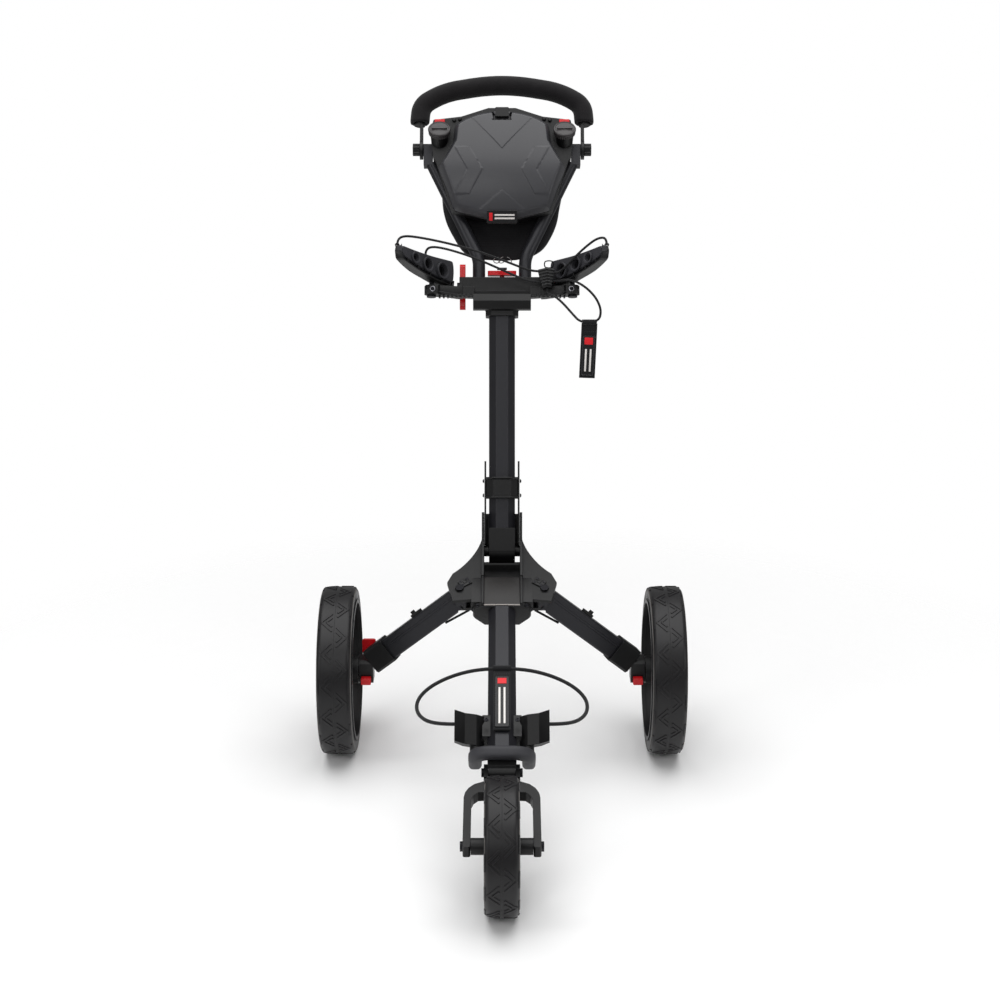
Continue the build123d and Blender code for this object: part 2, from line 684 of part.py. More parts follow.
# The head of the upper tube carries the cradle in front and the handle's pivot behind.
HEAD_START = 398.0
HANDLE_PIVOT_ALONG = 36.0
HANDLE_PIVOT = spot(HANDLE_OVER, 0, HANDLE_PIVOT_ALONG, 0)
MOUNT_HALF_WIDTH = 26.0
with BuildPart() as tube_head:
    with BuildSketch(UPPER_ACROSS.offset(HEAD_START)) as head_outline:
        Rectangle(57, 54)
        chamfer(head_outline.vertices(), 10)
        tube_outline(FIT, Mode.SUBTRACT)
    extrude(amount=UPPER_TUBE_TOP - HEAD_START)
    with BuildSketch(Plane.YZ):
        Polygon(
            side(UPPER_OVER, UPPER_TUBE_TOP, 8),
            side(UPPER_OVER, UPPER_TUBE_TOP, -27),
            side(UPPER_OVER, 452, -30.4),
            side(UPPER_OVER, 468, -26),
            side(UPPER_OVER, 468, -6),
            side(UPPER_OVER, 450, -1),
            align=None,
        )
    extrude(amount=MOUNT_HALF_WIDTH, both=True)
    with BuildSketch(sideways(0, HANDLE_PIVOT.Y, HANDLE_PIVOT.Z)):
        Circle(PIN_RADIUS + FIT)
    extrude(amount=40, both=True, mode=Mode.SUBTRACT)
    with BuildSketch(UPPER_ACROSS.offset(459.5)):
        with Locations((0, 16)):
            Circle(4 + GAP)
    extrude(amount=20, mode=Mode.SUBTRACT)
save(tube_head, "tube_head")

with BuildPart() as handle_latch:
    with BuildSketch(UPPER_ACROSS.offset(472.5)):
        with Locations((0, 16)):
            RectangleRounded(50, 18, 4)
    extrude(amount=8)
    with BuildSketch(UPPER_ACROSS.offset(464.5)):
        with Locations((0, 16)):
            Circle(4)
    extrude(amount=8)
save(handle_latch, "handle_latch")

CRADLE_SLOPE = 66.0
CRADLE = across(323.5, 768.0, CRADLE_SLOPE)
BAND_HALF_WIDTH = 74.0
ARM_PIN_X = 122.0
ARM_PIN_FORWARD = 34.0


def forward(points, hand=1):
    """Turn (sideways, forward) pairs into the cradle plane's own x and y."""
    return [(hand * x, -n) for x, n in points]


with BuildPart() as cradle_band:
    with BuildSketch(CRADLE.offset(-2)):
        Polygon(*forward([(-BAND_HALF_WIDTH, 10), (BAND_HALF_WIDTH, 10), (BAND_HALF_WIDTH, 20),
                          (-BAND_HALF_WIDTH, 20)]), align=None)
    extrude(amount=29)
    with BuildSketch(Plane.YZ):
        Polygon(
            side(UPPER_OVER, 406, 27.05),
            side(UPPER_OVER, 434.2, 27.05),
            side(UPPER_OVER, 434.2, 12),
            side(UPPER_OVER, 438, 12),
            side(UPPER_OVER, 441, 21),
            side(UPPER_OVER, 434, 36),
            side(UPPER_OVER, 422, 40),
            side(UPPER_OVER, 408, 36),
            align=None,
        )
    extrude(amount=50, both=True)
    for hand in (-1, 1):
        with BuildSketch(CRADLE.offset(-8)):
            Polygon(
                *forward([(48, 18), (70, 18), (104, 16), (126, 20), (134, 34), (126, 47), (112, 46), (100, 31),
                          (48, 29)], hand),
                align=None,
            )
        extrude(amount=16)
        with BuildSketch(CRADLE.offset(-8)):
            with Locations((hand * ARM_PIN_X, -ARM_PIN_FORWARD)):
                Circle(4 + FIT)
        extrude(amount=40, mode=Mode.SUBTRACT)
save(cradle_band, "cradle_band")

PAD_INNER = [(84, 16), (96, 30), (120, 58), (146, 98), (168, 138)]
PAD_OUTER = [(176, 133), (154, 92), (128, 51), (105, 23), (93, 10)]
SHELL_OUTER = [(181, 136), (178, 108), (160, 66), (138, 30), (118, 12), (100, 8), (93.4, 9.6)]
ARM_LOW = 8.4
ARM_HIGH = 57.0


def cradle_pad(hand):
    """Soft inner face of a cradle arm with three growing round holes."""
    with BuildPart() as pad:
        with BuildSketch(CRADLE.offset(ARM_LOW + 2)):
            Polygon(*forward(PAD_INNER + PAD_OUTER, hand), align=None)
        extrude(amount=ARM_HIGH - ARM_LOW - 4)
        for x, n, radius in ((104, 39, 14), (128, 70, 11.5), (148, 101, 9)):
            hole = Plane(
                origin=CRADLE.from_local_coords(Vector(hand * x, -n, 33)),
                x_dir=CRADLE.z_dir,
                z_dir=CRADLE.x_dir * (hand * 0.83) + CRADLE.y_dir * 0.56,
            )
            with BuildSketch(hole):
                Circle(radius)
            extrude(amount=30, both=True, mode=Mode.SUBTRACT)
    return pad


def cradle_arm(hand):
    """Outer shell of a cradle arm with its pivot boss underneath."""
    with BuildPart() as arm:
        with BuildSketch(CRADLE.offset(ARM_LOW)):
            Polygon(*forward([(x + 0.3, n - 0.2) for x, n in reversed(PAD_OUTER)] + SHELL_OUTER, hand),
                    align=None)
        extrude(amount=ARM_HIGH - ARM_LOW)
        with BuildSketch(CRADLE.offset(ARM_LOW)):
            with Locations((hand * ARM_PIN_X, -ARM_PIN_FORWARD)):
                Circle(4 + FIT)
        extrude(amount=24, mode=Mode.SUBTRACT)
    return arm


with BuildPart() as upper_pins:
    for hand in (-1, 1):
        with BuildSketch(CRADLE.offset(-8)):
            with Locations((hand * ARM_PIN_X, -ARM_PIN_FORWARD)):
                Circle(4)
        extrude(amount=38)
        with BuildSketch(CRADLE.offset(-8)):
            with Locations((hand * ARM_PIN_X, -ARM_PIN_FORWARD)):
                Circle(8)
        extrude(amount=-4)
    with BuildSketch(sideways(-77, HANDLE_PIVOT.Y, HANDLE_PIVOT.Z)):
        Circle(PIN_RADIUS)
    extrude(amount=77 + 53)
    for start, step in ((-74.8, -4), (53, 5)):
        with BuildSketch(sideways(start, HANDLE_PIVOT.Y, HANDLE_PIVOT.Z)):
            Circle(8)
        extrude(amount=step)
save(upper_pins, "upper_pins")

for name, hand in (("left", -1), ("right", 1)):
    save(cradle_pad(hand), f"cradle_pad_{name}")
    save(cradle_arm(hand), f"cradle_arm_{name}")

with BuildPart() as height_lever:
    lever_plane = Plane(
        origin=(-74, HANDLE_PIVOT.Y, HANDLE_PIVOT.Z), x_dir=UPPER_ACROSS.z_dir, z_dir=(1, 0, 0)
    )
    with BuildSketch(lever_plane):
        SlotOverall(80, 13)
        Circle(10)
        Circle(PIN_RADIUS + FIT, mode=Mode.SUBTRACT)
    extrude(amount=10)
save(height_lever, "height_lever")

# ---------------------------------------------------------------- upper cords, buckle and pull tab


def cradle_spot(x, n, b):
    """Point by the cradle: sideways, forward, up."""
    point = CRADLE.from_local_coords(Vector(x, -n, b))
    return (point.X, point.Y, point.Z)


UPPER_CORD = 4.0
BUCKLE = (78, 40, 20)
STRAND_HIGH = [(-176, 128, 57.05), (-176, 128, 67), (-165, 125, 74), (-140, 118, 73), (-98, 103, 68),
               (-50, 84, 60), (-6, 65, 49), (28, 50, 39), (52, 42, 32), (67.95, 42, 32)]
STRAND_LOW = [(-132, 50, 57.05), (-132, 50, 67), (-122, 54, 73), (-96, 58, 68), (-54, 57, 55),
              (-12, 51, 38), (22, 44, 24), (48, 40, 14), (67.95, 40, 14)]
STRAND_RIGHT = [(88.05, 42, 29), (98, 42, 29), (111, 58, 38), (126, 80, 50), (144, 104, 62),
                (161, 121, 71), (176, 129, 70), (176, 129, 57.05)]
PULL_LOOP = [(88.05, 40, 15), (98, 40, 15), (109, 58, 14), (124, 80, 7), (144, 92, -8), (161, 92, -27),
             (169, 86, -47), (164, 80, -64), (134, 72, -64), (120, 69, -48), (104, 64, -28), (88, 54, -12),
             (78, 40, -8), (78, 40, 1.95)]
save(cord([cradle_spot(*p) for p in STRAND_HIGH], UPPER_CORD), "upper_cord_high")
save(cord([cradle_spot(*p) for p in STRAND_LOW], UPPER_CORD), "upper_cord_low")
save(cord([cradle_spot(*p) for p in STRAND_RIGHT], UPPER_CORD), "upper_cord_right")
save(cord([cradle_spot(*p) for p in PULL_LOOP], UPPER_CORD), "pull_cord")

with BuildPart() as cord_buckle:
    with BuildSketch(CRADLE.offset(2)):
        with Locations((BUCKLE[0], -BUCKLE[1])):
            RectangleRounded(20, 14, 3)
    extrude(amount=36)
save(cord_buckle, "cord_buckle")

PULL_TAB_DROP = 103.0
PULL_TAB_NECK = 12.0
TAB_TOP = cradle_spot(149, 76, -64)
with BuildPart() as pull_tab:
    with BuildSketch(Plane.XY.offset(TAB_TOP[2] + 5)):
        with Locations((TAB_TOP[0], TAB_TOP[1])):
            Rectangle(PULL_TAB_NECK, 11)
    extrude(amount=-13)
    with BuildSketch(Plane.XY.offset(TAB_TOP[2] - 6)):
        with Locations((TAB_TOP[0], TAB_TOP[1])):
            Rectangle(TAB_WIDTH, TAB_THICKNESS)
    extrude(amount=-PULL_TAB_DROP)
    with BuildSketch(sideways(TAB_TOP[0] - TAB_WIDTH, TAB_TOP[1], TAB_TOP[2])):
        Circle(UPPER_CORD / 2 + 2.2)
    extrude(amount=2 * TAB_WIDTH, mode=Mode.SUBTRACT)
save(pull_tab, "pull_tab")

# ---------------------------------------------------------------- handle
HANDLE_TUBE_RADIUS = 11.0
HANDLE_TUBE_WALL = 2.2
HANDLE_TUBE_X = 40.5
HANDLE_BEND = 88.0
HANDLE_SPREAD = 25.6
HANDLE_TUBE_END = 262.0
TILT_ALONG = 289.0
TILT_HUB_INSIDE = 122.0
TILT_HUB_OUTSIDE = 139.8
KNUCKLE_INSIDE = 29.5
KNUCKLE_OUTSIDE = 51.5
END_X = HANDLE_TUBE_X + (HANDLE_TUBE_END - HANDLE_BEND) * math.tan(math.radians(HANDLE_SPREAD))

with BuildPart() as handle_tubes:
    for hand in (-1, 1):
        with BuildLine(HANDLE_OVER) as tube_path:
            FilletPolyline(
                (hand * HANDLE_TUBE_X, HANDLE_PIVOT_ALONG + 4),
                (hand * HANDLE_TUBE_X, HANDLE_BEND),
                (hand * END_X, HANDLE_TUBE_END),
                radius=60,
            )
        with BuildSketch(Plane(origin=tube_path.line @ 0, z_dir=tube_path.line % 0)):
            Circle(HANDLE_TUBE_RADIUS)
            Circle(HANDLE_TUBE_RADIUS - HANDLE_TUBE_WALL, mode=Mode.SUBTRACT)
        sweep()
        with BuildSketch(sideways(hand * KNUCKLE_INSIDE, HANDLE_PIVOT.Y, HANDLE_PIVOT.Z)):
            Circle(14)
        extrude(amount=hand * (KNUCKLE_OUTSIDE - KNUCKLE_INSIDE))
        with BuildSketch(HANDLE_OVER.offset(-10.8)):
            with Locations((hand * 131, 276)):
                Rectangle(16, 36)
        extrude(amount=21.6)
        with BuildSketch(sideways(hand * TILT_HUB_INSIDE, *side(HANDLE_OVER, TILT_ALONG, 0))):
            Circle(10.8)
        extrude(amount=hand * (TILT_HUB_OUTSIDE - TILT_HUB_INSIDE))
        with BuildSketch(sideways(hand * 100, *side(HANDLE_OVER, TILT_ALONG, 0))):
            Circle(3 + FIT)
        extrude(amount=hand * 60, mode=Mode.SUBTRACT)
    with BuildSketch(sideways(0, HANDLE_PIVOT.Y, HANDLE_PIVOT.Z)):
        Circle(PIN_RADIUS + FIT)
    extrude(amount=60, both=True, mode=Mode.SUBTRACT)
save(handle_tubes, "handle_tubes")

GRIP_RADIUS = 17.5
GRIP_CORE = 10.0
GRIP_ROUTE = [(147, 334), (144, 372), (104, 397), (0, 414.5), (-104, 397), (-144, 372), (-147, 334)]
GRIP_BENDS = [30, 140, 320, 140, 30]
BRACKET_INSIDE = TILT_HUB_OUTSIDE + 0.6
BRACKET_OUTSIDE = 146.0


def grip_path():
    """The grip's centre line, one smooth arch over the console."""
    FilletPolyline(*GRIP_ROUTE, radius=GRIP_BENDS)


with BuildPart() as grip_bar:
    with BuildLine(HANDLE_OVER) as core_path:
        grip_path()
    with BuildSketch(Plane(origin=core_path.line @ 0, z_dir=core_path.line % 0)):
        Circle(GRIP_CORE - FIT)
    sweep()
    for hand in (-1, 1):
        middle = side(HANDLE_OVER, TILT_ALONG, 0)
        with BuildSketch(sideways(hand * BRACKET_INSIDE, *middle)):
            Circle(17)
        extrude(amount=hand * (BRACKET_OUTSIDE - BRACKET_INSIDE))
        with BuildSketch(HANDLE_OVER.offset(-9)):
            with Locations((hand * (BRACKET_INSIDE + BRACKET_OUTSIDE) / 2, (TILT_ALONG + 334) / 2)):
                Rectangle(BRACKET_OUTSIDE - BRACKET_INSIDE, 334 - TILT_ALONG)
        extrude(amount=18)
        with BuildSketch(sideways(hand * 100, *middle)):
            Circle(3 + FIT)
        extrude(amount=hand * 60, mode=Mode.SUBTRACT)
save(grip_bar, "grip_bar")

with BuildPart() as grip_foam:
    with BuildLine(HANDLE_OVER) as foam_path:
        grip_path()
    with BuildSketch(Plane(origin=foam_path.line @ 0, z_dir=foam_path.line % 0)):
        Circle(GRIP_RADIUS)
        Circle(GRIP_CORE + FIT, mode=Mode.SUBTRACT)
    sweep()
    for hand in (-1, 1):
        with BuildSketch(HANDLE_ACROSS.offset(330)):
            with Locations((hand * 147, 0)):
                Rectangle(60, 60)
        extrude(amount=8, mode=Mode.SUBTRACT)
save(grip_foam, "grip_foam")

with BuildPart() as thumb_screws:
    for hand in (-1, 1):
        middle = side(HANDLE_OVER, TILT_ALONG, 0)
        with BuildSketch(sideways(hand * (TILT_HUB_INSIDE + 2), *middle)):
            Circle(3)
        extrude(amount=hand * (BRACKET_OUTSIDE + 1 - TILT_HUB_INSIDE - 2))
        with BuildSketch(sideways(hand * (BRACKET_OUTSIDE + 0.6), *middle)):
            Circle(9)
            with PolarLocations(8, 5):
                Circle(3.4)
        extrude(amount=hand * 12)
save(thumb_screws, "thumb_screws")

# ---------------------------------------------------------------- console
TRAY = [(27, 150), (88, 166), (117, 258), (121, 262), (127, 312), (121, 334), (72, 340), (24, 356)]
LID = [(26, 152), (84, 167), (111, 244), (86, 290), (81, 326), (24, 352)]
TRAY_BACK = 11.2
TRAY_TOP = 30.0
LID_HINGE_ALONG = 146.0
LID_SIDE = [(151, 30.4), (151, 37), (250, 62), (354, 44), (354, 30.4)]
SEAT_X = 110.0
SEAT_ALONG = 304.0
SEAT_ABOVE = 41.0
SEAT_SLOPE = 32.0


def both_sides(points):
    """A half outline and its mirror image, in order."""
    return points + [(-x, y) for x, y in reversed(points)]


def seat_plane(hand):
    """Plane of an accessory cap, tipped up from the console."""
    point = spot(HANDLE_OVER, hand * SEAT_X, SEAT_ALONG, SEAT_ABOVE)
    plane = over(0, 0, SEAT_SLOPE)
    return Plane(origin=point, x_dir=(1, 0, 0), z_dir=plane.z_dir)


with BuildPart() as console_tray:
    with BuildSketch(HANDLE_OVER.offset(TRAY_BACK)):
        Polygon(*both_sides(TRAY), align=None)
    extrude(amount=TRAY_TOP - TRAY_BACK)
    with BuildSketch(HANDLE_OVER.offset(TRAY_BACK + 3)):
        Polygon(*both_sides([(24, 156), (80, 171), (104, 256), (72, 318), (58, 332), (20, 346)]), align=None)
    extrude(amount=30, mode=Mode.SUBTRACT)
    for hand in (-1, 1):
        with BuildSketch(seat_plane(hand)):
            Circle(15)
        extrude(amount=-24)
        with BuildSketch(sideways(hand * 17.4, *side(HANDLE_OVER, LID_HINGE_ALONG, TRAY_TOP))):
            Circle(4)
        extrude(amount=hand * 8)
        with BuildSketch(HANDLE_OVER.offset(TRAY_TOP - 6)):
            with Locations((hand * 21.4, LID_HINGE_ALONG + 2.5)):
                Rectangle(8, 5)
        extrude(amount=6)
    with BuildSketch(sideways(0, *side(HANDLE_OVER, LID_HINGE_ALONG, TRAY_TOP))):
        Circle(1.5 + FIT)
    extrude(amount=30, both=True, mode=Mode.SUBTRACT)
    with BuildSketch(HANDLE_OVER.offset(TRAY_TOP)):
        with Locations((0, 260)):
            Rectangle(180, 216)
    extrude(amount=30, mode=Mode.SUBTRACT)
save(console_tray, "console_tray")

LATCH_NOTCH = 12.6
with BuildPart() as console_lid:
    with BuildSketch(HANDLE_OVER.offset(TRAY_TOP + 0.4)):
        Polygon(*both_sides(LID), align=None)
    extrude(amount=50)
    with BuildSketch(Plane.YZ):
        Polygon(*[side(HANDLE_OVER, t, h) for t, h in LID_SIDE], align=None)
    extrude(amount=150, both=True, mode=Mode.INTERSECT)
    underside = console_lid.faces().sort_by(Axis(HANDLE_OVER.origin, HANDLE_OVER.z_dir))[0]
    offset(amount=-3, openings=underside)
    with BuildSketch(HANDLE_OVER.offset(TRAY_TOP)):
        with Locations((0, 343)):
            Rectangle(2 * LATCH_NOTCH, 26)
    extrude(amount=40, mode=Mode.SUBTRACT)
    with BuildSketch(sideways(-17, *side(HANDLE_OVER, LID_HINGE_ALONG, TRAY_TOP))):
        Circle(4)
    extrude(amount=34)
    with BuildSketch(Plane.YZ):
        Polygon(*[side(HANDLE_OVER, t, h) for t, h in ((146, 30.4), (152, 30.4), (154, 36), (146, 33.9))],
                align=None)
    extrude(amount=17, both=True)
    with BuildSketch(sideways(0, *side(HANDLE_OVER, LID_HINGE_ALONG, TRAY_TOP))):
        Circle(1.5 + FIT)
    extrude(amount=30, both=True, mode=Mode.SUBTRACT)
save(console_lid, "console_lid")

with BuildPart() as lid_latch:
    with BuildSketch(HANDLE_OVER.offset(TRAY_TOP + 4)):
        with Locations((0, 344)):
            RectangleRounded(2 * LATCH_NOTCH - 1.2, 17, 2)
    extrude(amount=9)
save(lid_latch, "lid_latch")

with BuildPart() as lid_pin:
    with BuildSketch(sideways(0, *side(HANDLE_OVER, LID_HINGE_ALONG, TRAY_TOP))):
        Circle(1.5)
    extrude(amount=25.4, both=True)
save(lid_pin, "lid_pin")

for name, hand in (("left", -1), ("right", 1)):
    with BuildPart() as accessory_cap:
        with BuildSketch(seat_plane(hand).offset(0.4)):
            Circle(18)
        extrude(amount=11)
        top = accessory_cap.faces().sort_by(Axis(HANDLE_OVER.origin, seat_plane(hand).z_dir))[-1]
        chamfer(top.edges(), 2.5)
    save(accessory_cap, f"accessory_cap_{name}")

POUCH = [(34, 92), (70, 104), (98, 160), (108, 218)]
POUCH_WALL = 2.0
POUCH_SIDE = [(92, -13), (222, -13), (222, -58), (150, -48), (92, -19)]
with BuildPart() as pouch:
    with BuildSketch(HANDLE_OVER.offset(-60)):
        Polygon(*both_sides(POUCH), align=None)
    extrude(amount=50)
    with BuildSketch(Plane.YZ):
        Polygon(*[side(HANDLE_OVER, t, h) for t, h in POUCH_SIDE], align=None)
    extrude(amount=150, both=True, mode=Mode.INTERSECT)
    mouth = pouch.faces().sort_by(Axis(HANDLE_OVER.origin, HANDLE_ACROSS.z_dir))[-1]
    offset(amount=-POUCH_WALL, openings=mouth)
save(pouch, "pouch")
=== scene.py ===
import math

import bmesh
import bpy
from mathutils import Matrix, Vector


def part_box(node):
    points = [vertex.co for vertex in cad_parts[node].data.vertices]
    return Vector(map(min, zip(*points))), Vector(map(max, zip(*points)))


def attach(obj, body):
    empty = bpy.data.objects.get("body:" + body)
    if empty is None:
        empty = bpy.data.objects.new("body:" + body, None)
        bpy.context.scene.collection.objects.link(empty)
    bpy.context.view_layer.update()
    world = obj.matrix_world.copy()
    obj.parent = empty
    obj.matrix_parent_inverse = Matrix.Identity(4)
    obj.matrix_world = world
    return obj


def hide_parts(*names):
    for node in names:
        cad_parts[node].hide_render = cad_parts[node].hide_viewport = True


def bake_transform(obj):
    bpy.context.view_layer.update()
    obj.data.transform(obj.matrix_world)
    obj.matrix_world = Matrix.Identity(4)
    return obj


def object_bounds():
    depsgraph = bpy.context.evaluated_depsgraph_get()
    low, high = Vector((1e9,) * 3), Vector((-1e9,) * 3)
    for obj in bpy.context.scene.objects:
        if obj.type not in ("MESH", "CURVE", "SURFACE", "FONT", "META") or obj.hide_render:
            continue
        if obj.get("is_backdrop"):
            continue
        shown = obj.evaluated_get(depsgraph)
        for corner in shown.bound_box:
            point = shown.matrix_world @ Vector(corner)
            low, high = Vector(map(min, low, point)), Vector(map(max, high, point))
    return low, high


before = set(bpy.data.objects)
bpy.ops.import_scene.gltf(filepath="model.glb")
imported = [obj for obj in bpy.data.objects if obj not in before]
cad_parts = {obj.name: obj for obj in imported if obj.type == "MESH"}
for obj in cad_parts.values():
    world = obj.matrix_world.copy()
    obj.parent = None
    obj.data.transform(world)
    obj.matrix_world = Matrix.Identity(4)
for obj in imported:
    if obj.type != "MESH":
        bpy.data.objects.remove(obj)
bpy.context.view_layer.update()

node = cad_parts

# ---- Camera: a long studio lens in front of the cart, a little above the handle.
# It looks down by 18 degrees. A very small shift sets the cart in the middle of the frame.
def placed(name, data):
    """Object linked into the scene."""
    new = bpy.data.objects.new(name, data)
    bpy.context.scene.collection.objects.link(new)
    return new


camera = placed("camera", bpy.data.cameras.new("camera"))
camera.location = (0, -2.8925, 1.436)
camera.rotation_euler = (math.radians(72), 0, 0)
camera.data.lens = 67.3
camera.data.shift_x = -0.002
bpy.context.scene.camera = camera
bpy.context.scene.view_settings.view_transform = "Standard"


# ---- Studio: a white painted floor that runs out of sight, an even white surround and four soft boxes.
# The boxes give the satin tubes and the lid their long soft highlights.
def linear(colour):
    """sRGB hex as linear red, green, blue and alpha."""
    parts = [int(colour[i:i + 2], 16) / 255 for i in (1, 3, 5)]
    return [p / 12.92 if p <= 0.04045 else ((p + 0.055) / 1.055) ** 2.4 for p in parts] + [1.0]


def add(tree, kind, sockets=None, **settings):
    """Add a node; each named socket takes a value or the output that is linked to it."""
    new = tree.nodes.new(kind)
    for name, value in settings.items():
        setattr(new, name, value)
    for name, value in (sockets or {}).items():
        if isinstance(value, bpy.types.NodeSocket):
            tree.links.new(value, new.inputs[name])
        else:
            new.inputs[name].default_value = value
    return new


def blank_material(name):
    """Material with an empty tree."""
    new = bpy.data.materials.new(name)
    new.use_nodes = True
    new.node_tree.nodes.clear()
    return new, new.node_tree


def piece(name, mesh, material, body=None, stands_for=()):
    """Object at the origin for a finished mesh, riding on a body."""
    new = placed(name, mesh)
    mesh.materials.clear()
    mesh.materials.append(material)
    if body:
        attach(new, body)
    if stands_for:
        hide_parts(*stands_for)
    return new


floor_paint, tree = blank_material("white_floor_paint")
shader = add(tree, "ShaderNodeBsdfPrincipled", {"Base Color": linear("#f6f6f6"), "Roughness": 0.8})
clear = add(tree, "ShaderNodeBsdfTransparent")
FADE_START, FADE_END = 0.85, 1.35
reach = add(tree, "ShaderNodeVectorMath", {0: add(tree, "ShaderNodeTexCoord").outputs["Object"]},
            operation="LENGTH")
fade = add(tree, "ShaderNodeMapRange",
           {"Value": reach.outputs["Value"], "From Min": FADE_START, "From Max": FADE_END})
joined = add(tree, "ShaderNodeMixShader", {0: fade.outputs[0], 1: shader.outputs[0], 2: clear.outputs[0]})
add(tree, "ShaderNodeOutputMaterial", {"Surface": joined.outputs[0]})
FLOOR_HALF = 2.0
FLOOR_Z = -0.0012
floor_mesh = bpy.data.meshes.new("floor")
floor_mesh.from_pydata(
    [(x * FLOOR_HALF, y * FLOOR_HALF, FLOOR_Z) for x, y in ((-1, -1), (1, -1), (1, 1), (-1, 1))],
    [], [(0, 1, 2, 3)],
)
piece("floor", floor_mesh, floor_paint)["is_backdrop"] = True

world = bpy.data.worlds.new("surround")
world.use_nodes = True
tree = world.node_tree
tree.nodes.clear()
seen = add(tree, "ShaderNodeBackground", {"Color": (1, 1, 1, 1), "Strength": 1.0})
felt = add(tree, "ShaderNodeBackground", {"Color": (1, 1, 1, 1), "Strength": 0.30})
ray = add(tree, "ShaderNodeLightPath").outputs["Is Camera Ray"]
both = add(tree, "ShaderNodeMixShader", {0: ray, 1: felt.outputs[0], 2: seen.outputs[0]})
add(tree, "ShaderNodeOutputWorld", {"Surface": both.outputs[0]})
bpy.context.scene.world = world
for name, place, aim, size, power in (
    ("soft_box_top", (0.0, 0.0, 3.6), (0, 0, 0), 4.6, 150),
    ("soft_box_left", (-2.6, -1.4, 1.5), (0, 0.1, 0.6), 0.9, 14),
    ("soft_box_right", (2.6, -1.2, 1.3), (0, 0.1, 0.6), 0.9, 10),
    ("soft_box_front", (-0.5, -3.2, 2.4), (0, 0.2, 0.8), 1.0, 12),
):
    lamp = bpy.data.lights.new(name, "AREA")
    lamp.size = size
    lamp.energy = power
    box = placed(name, lamp)
    box.location = place
    box.rotation_euler = (Vector(aim) - Vector(place)).to_track_quat("-Z", "Y").to_euler()


# ---- Main tubes: extruded aluminium, powder coated in a satin anthracite.
# The coat has a fine orange peel, and its edges are painted paler: partly rubbed wear, partly a painted
# highlight.
def worn_and_highlit_coat(name, base, edge_wear_and_highlight_colour, roughness, grain_mm, grain_depth, edge=0.0012, metallic=0.0, mottle=0.25,
              gloss=0.35):
    """Coated or moulded surface: colour drift, grain bump, and softened edges painted paler as rubbed wear and
    as a painted highlight.
    """
    new, tree = blank_material(name)
    place = add(tree, "ShaderNodeTexCoord").outputs["Object"]
    drift = add(tree, "ShaderNodeTexNoise", {"Vector": place, "Scale": 22.0, "Detail": 4.0})
    grain = add(tree, "ShaderNodeTexNoise", {"Vector": place, "Scale": 1000 / grain_mm, "Detail": 2.0})
    soft = add(tree, "ShaderNodeBevel", {"Radius": edge}, samples=4)
    face = add(tree, "ShaderNodeNewGeometry").outputs["Normal"]
    turn = add(tree, "ShaderNodeVectorMath", operation="DOT_PRODUCT")
    tree.links.new(soft.outputs[0], turn.inputs[0])
    tree.links.new(face, turn.inputs[1])
    # Paler edges found from the bevel normal: partly rubbed wear, partly a painted highlight.
    edge_wear_and_highlight = add(tree, "ShaderNodeMapRange", {"Value": turn.outputs["Value"], "From Min": 0.995, "From Max": 0.80,
                                            "To Min": 0.0, "To Max": 0.55})
    shade = add(tree, "ShaderNodeMix", {"Factor": drift.outputs["Fac"], "A": 1.0 - mottle, "B": 1.0 + mottle},
                data_type="FLOAT")
    tone = add(tree, "ShaderNodeVectorMath", {0: linear(base)[:3], "Scale": shade.outputs[0]},
               operation="SCALE")
    colour = add(tree, "ShaderNodeMix", data_type="RGBA")
    tree.links.new(edge_wear_and_highlight.outputs[0], colour.inputs[0])
    tree.links.new(tone.outputs[0], colour.inputs[6])
    colour.inputs[7].default_value = linear(edge_wear_and_highlight_colour)
    rough = add(tree, "ShaderNodeMapRange", {"Value": drift.outputs["Fac"], "To Min": roughness - 0.07,
                                             "To Max": roughness + 0.07})
    bump = add(tree, "ShaderNodeBump", {"Height": grain.outputs["Fac"], "Strength": 0.5,
                                        "Distance": grain_depth, "Normal": soft.outputs[0]})
    body = add(tree, "ShaderNodeBsdfPrincipled",
               {"Base Color": colour.outputs[2], "Roughness": rough.outputs[0], "Metallic": metallic,
                "Normal": bump.outputs[0], "IOR": 1.5, "Specular IOR Level": gloss})
    add(tree, "ShaderNodeOutputMaterial", {"Surface": body.outputs[0]})
    return new


def finish_nodes(material, *names):
    """Give CAD nodes their finish."""
    for name in names:
        for place in node[name].material_slots:
            place.material = material


powder_coat = worn_and_highlit_coat("anthracite_powder_coat", "#232327", "#45454b", 0.36, 1.4, 0.00012, metallic=0.35,
                         gloss=0.4)
finish_nodes(powder_coat, "lower_tube", "upper_tube", "handle_tubes", "rear_arm_left", "rear_arm_right")

# ---- Castings and clamps: glass-filled nylon, injection moulded in black with a fine spark-eroded grain.
# They are screwed or clamped on the tubes; the grain gives a soft, slightly broken highlight.
nylon = worn_and_highlit_coat("black_glass_filled_nylon", "#0a0a0b", "#26262a", 0.42, 0.9, 0.00010)
finish_nodes(
    nylon, "hub_block", "hinge_channel", "shoulder_left", "shoulder_right", "fork_block", "lower_bracket",
    "front_fork", "fork_clamps", "axle_block_left", "axle_block_right", "arm_fittings_left",
    "arm_fittings_right", "tube_foot", "tube_head", "cradle_band", "cord_buckle", "lock_collar",
    "cradle_arm_left", "cradle_arm_right", "console_tray", "grip_bar", "lid_latch", "front_rim",
    "rear_rim_left", "rear_rim_right", "thumb_screws", "pouch",
)

# ---- Red controls: buttons, pedal, lever and latch, moulded in red nylon in a polished tool.
# They are glossier than the black castings, with hardly any grain.
red_nylon = worn_and_highlit_coat("red_gloss_nylon", "#c8161d", "#ea4440", 0.30, 1.2, 0.00004, mottle=0.1)
finish_nodes(red_nylon, "release_button_left", "release_button_right", "brake_pedal", "height_lever",
             "handle_latch")
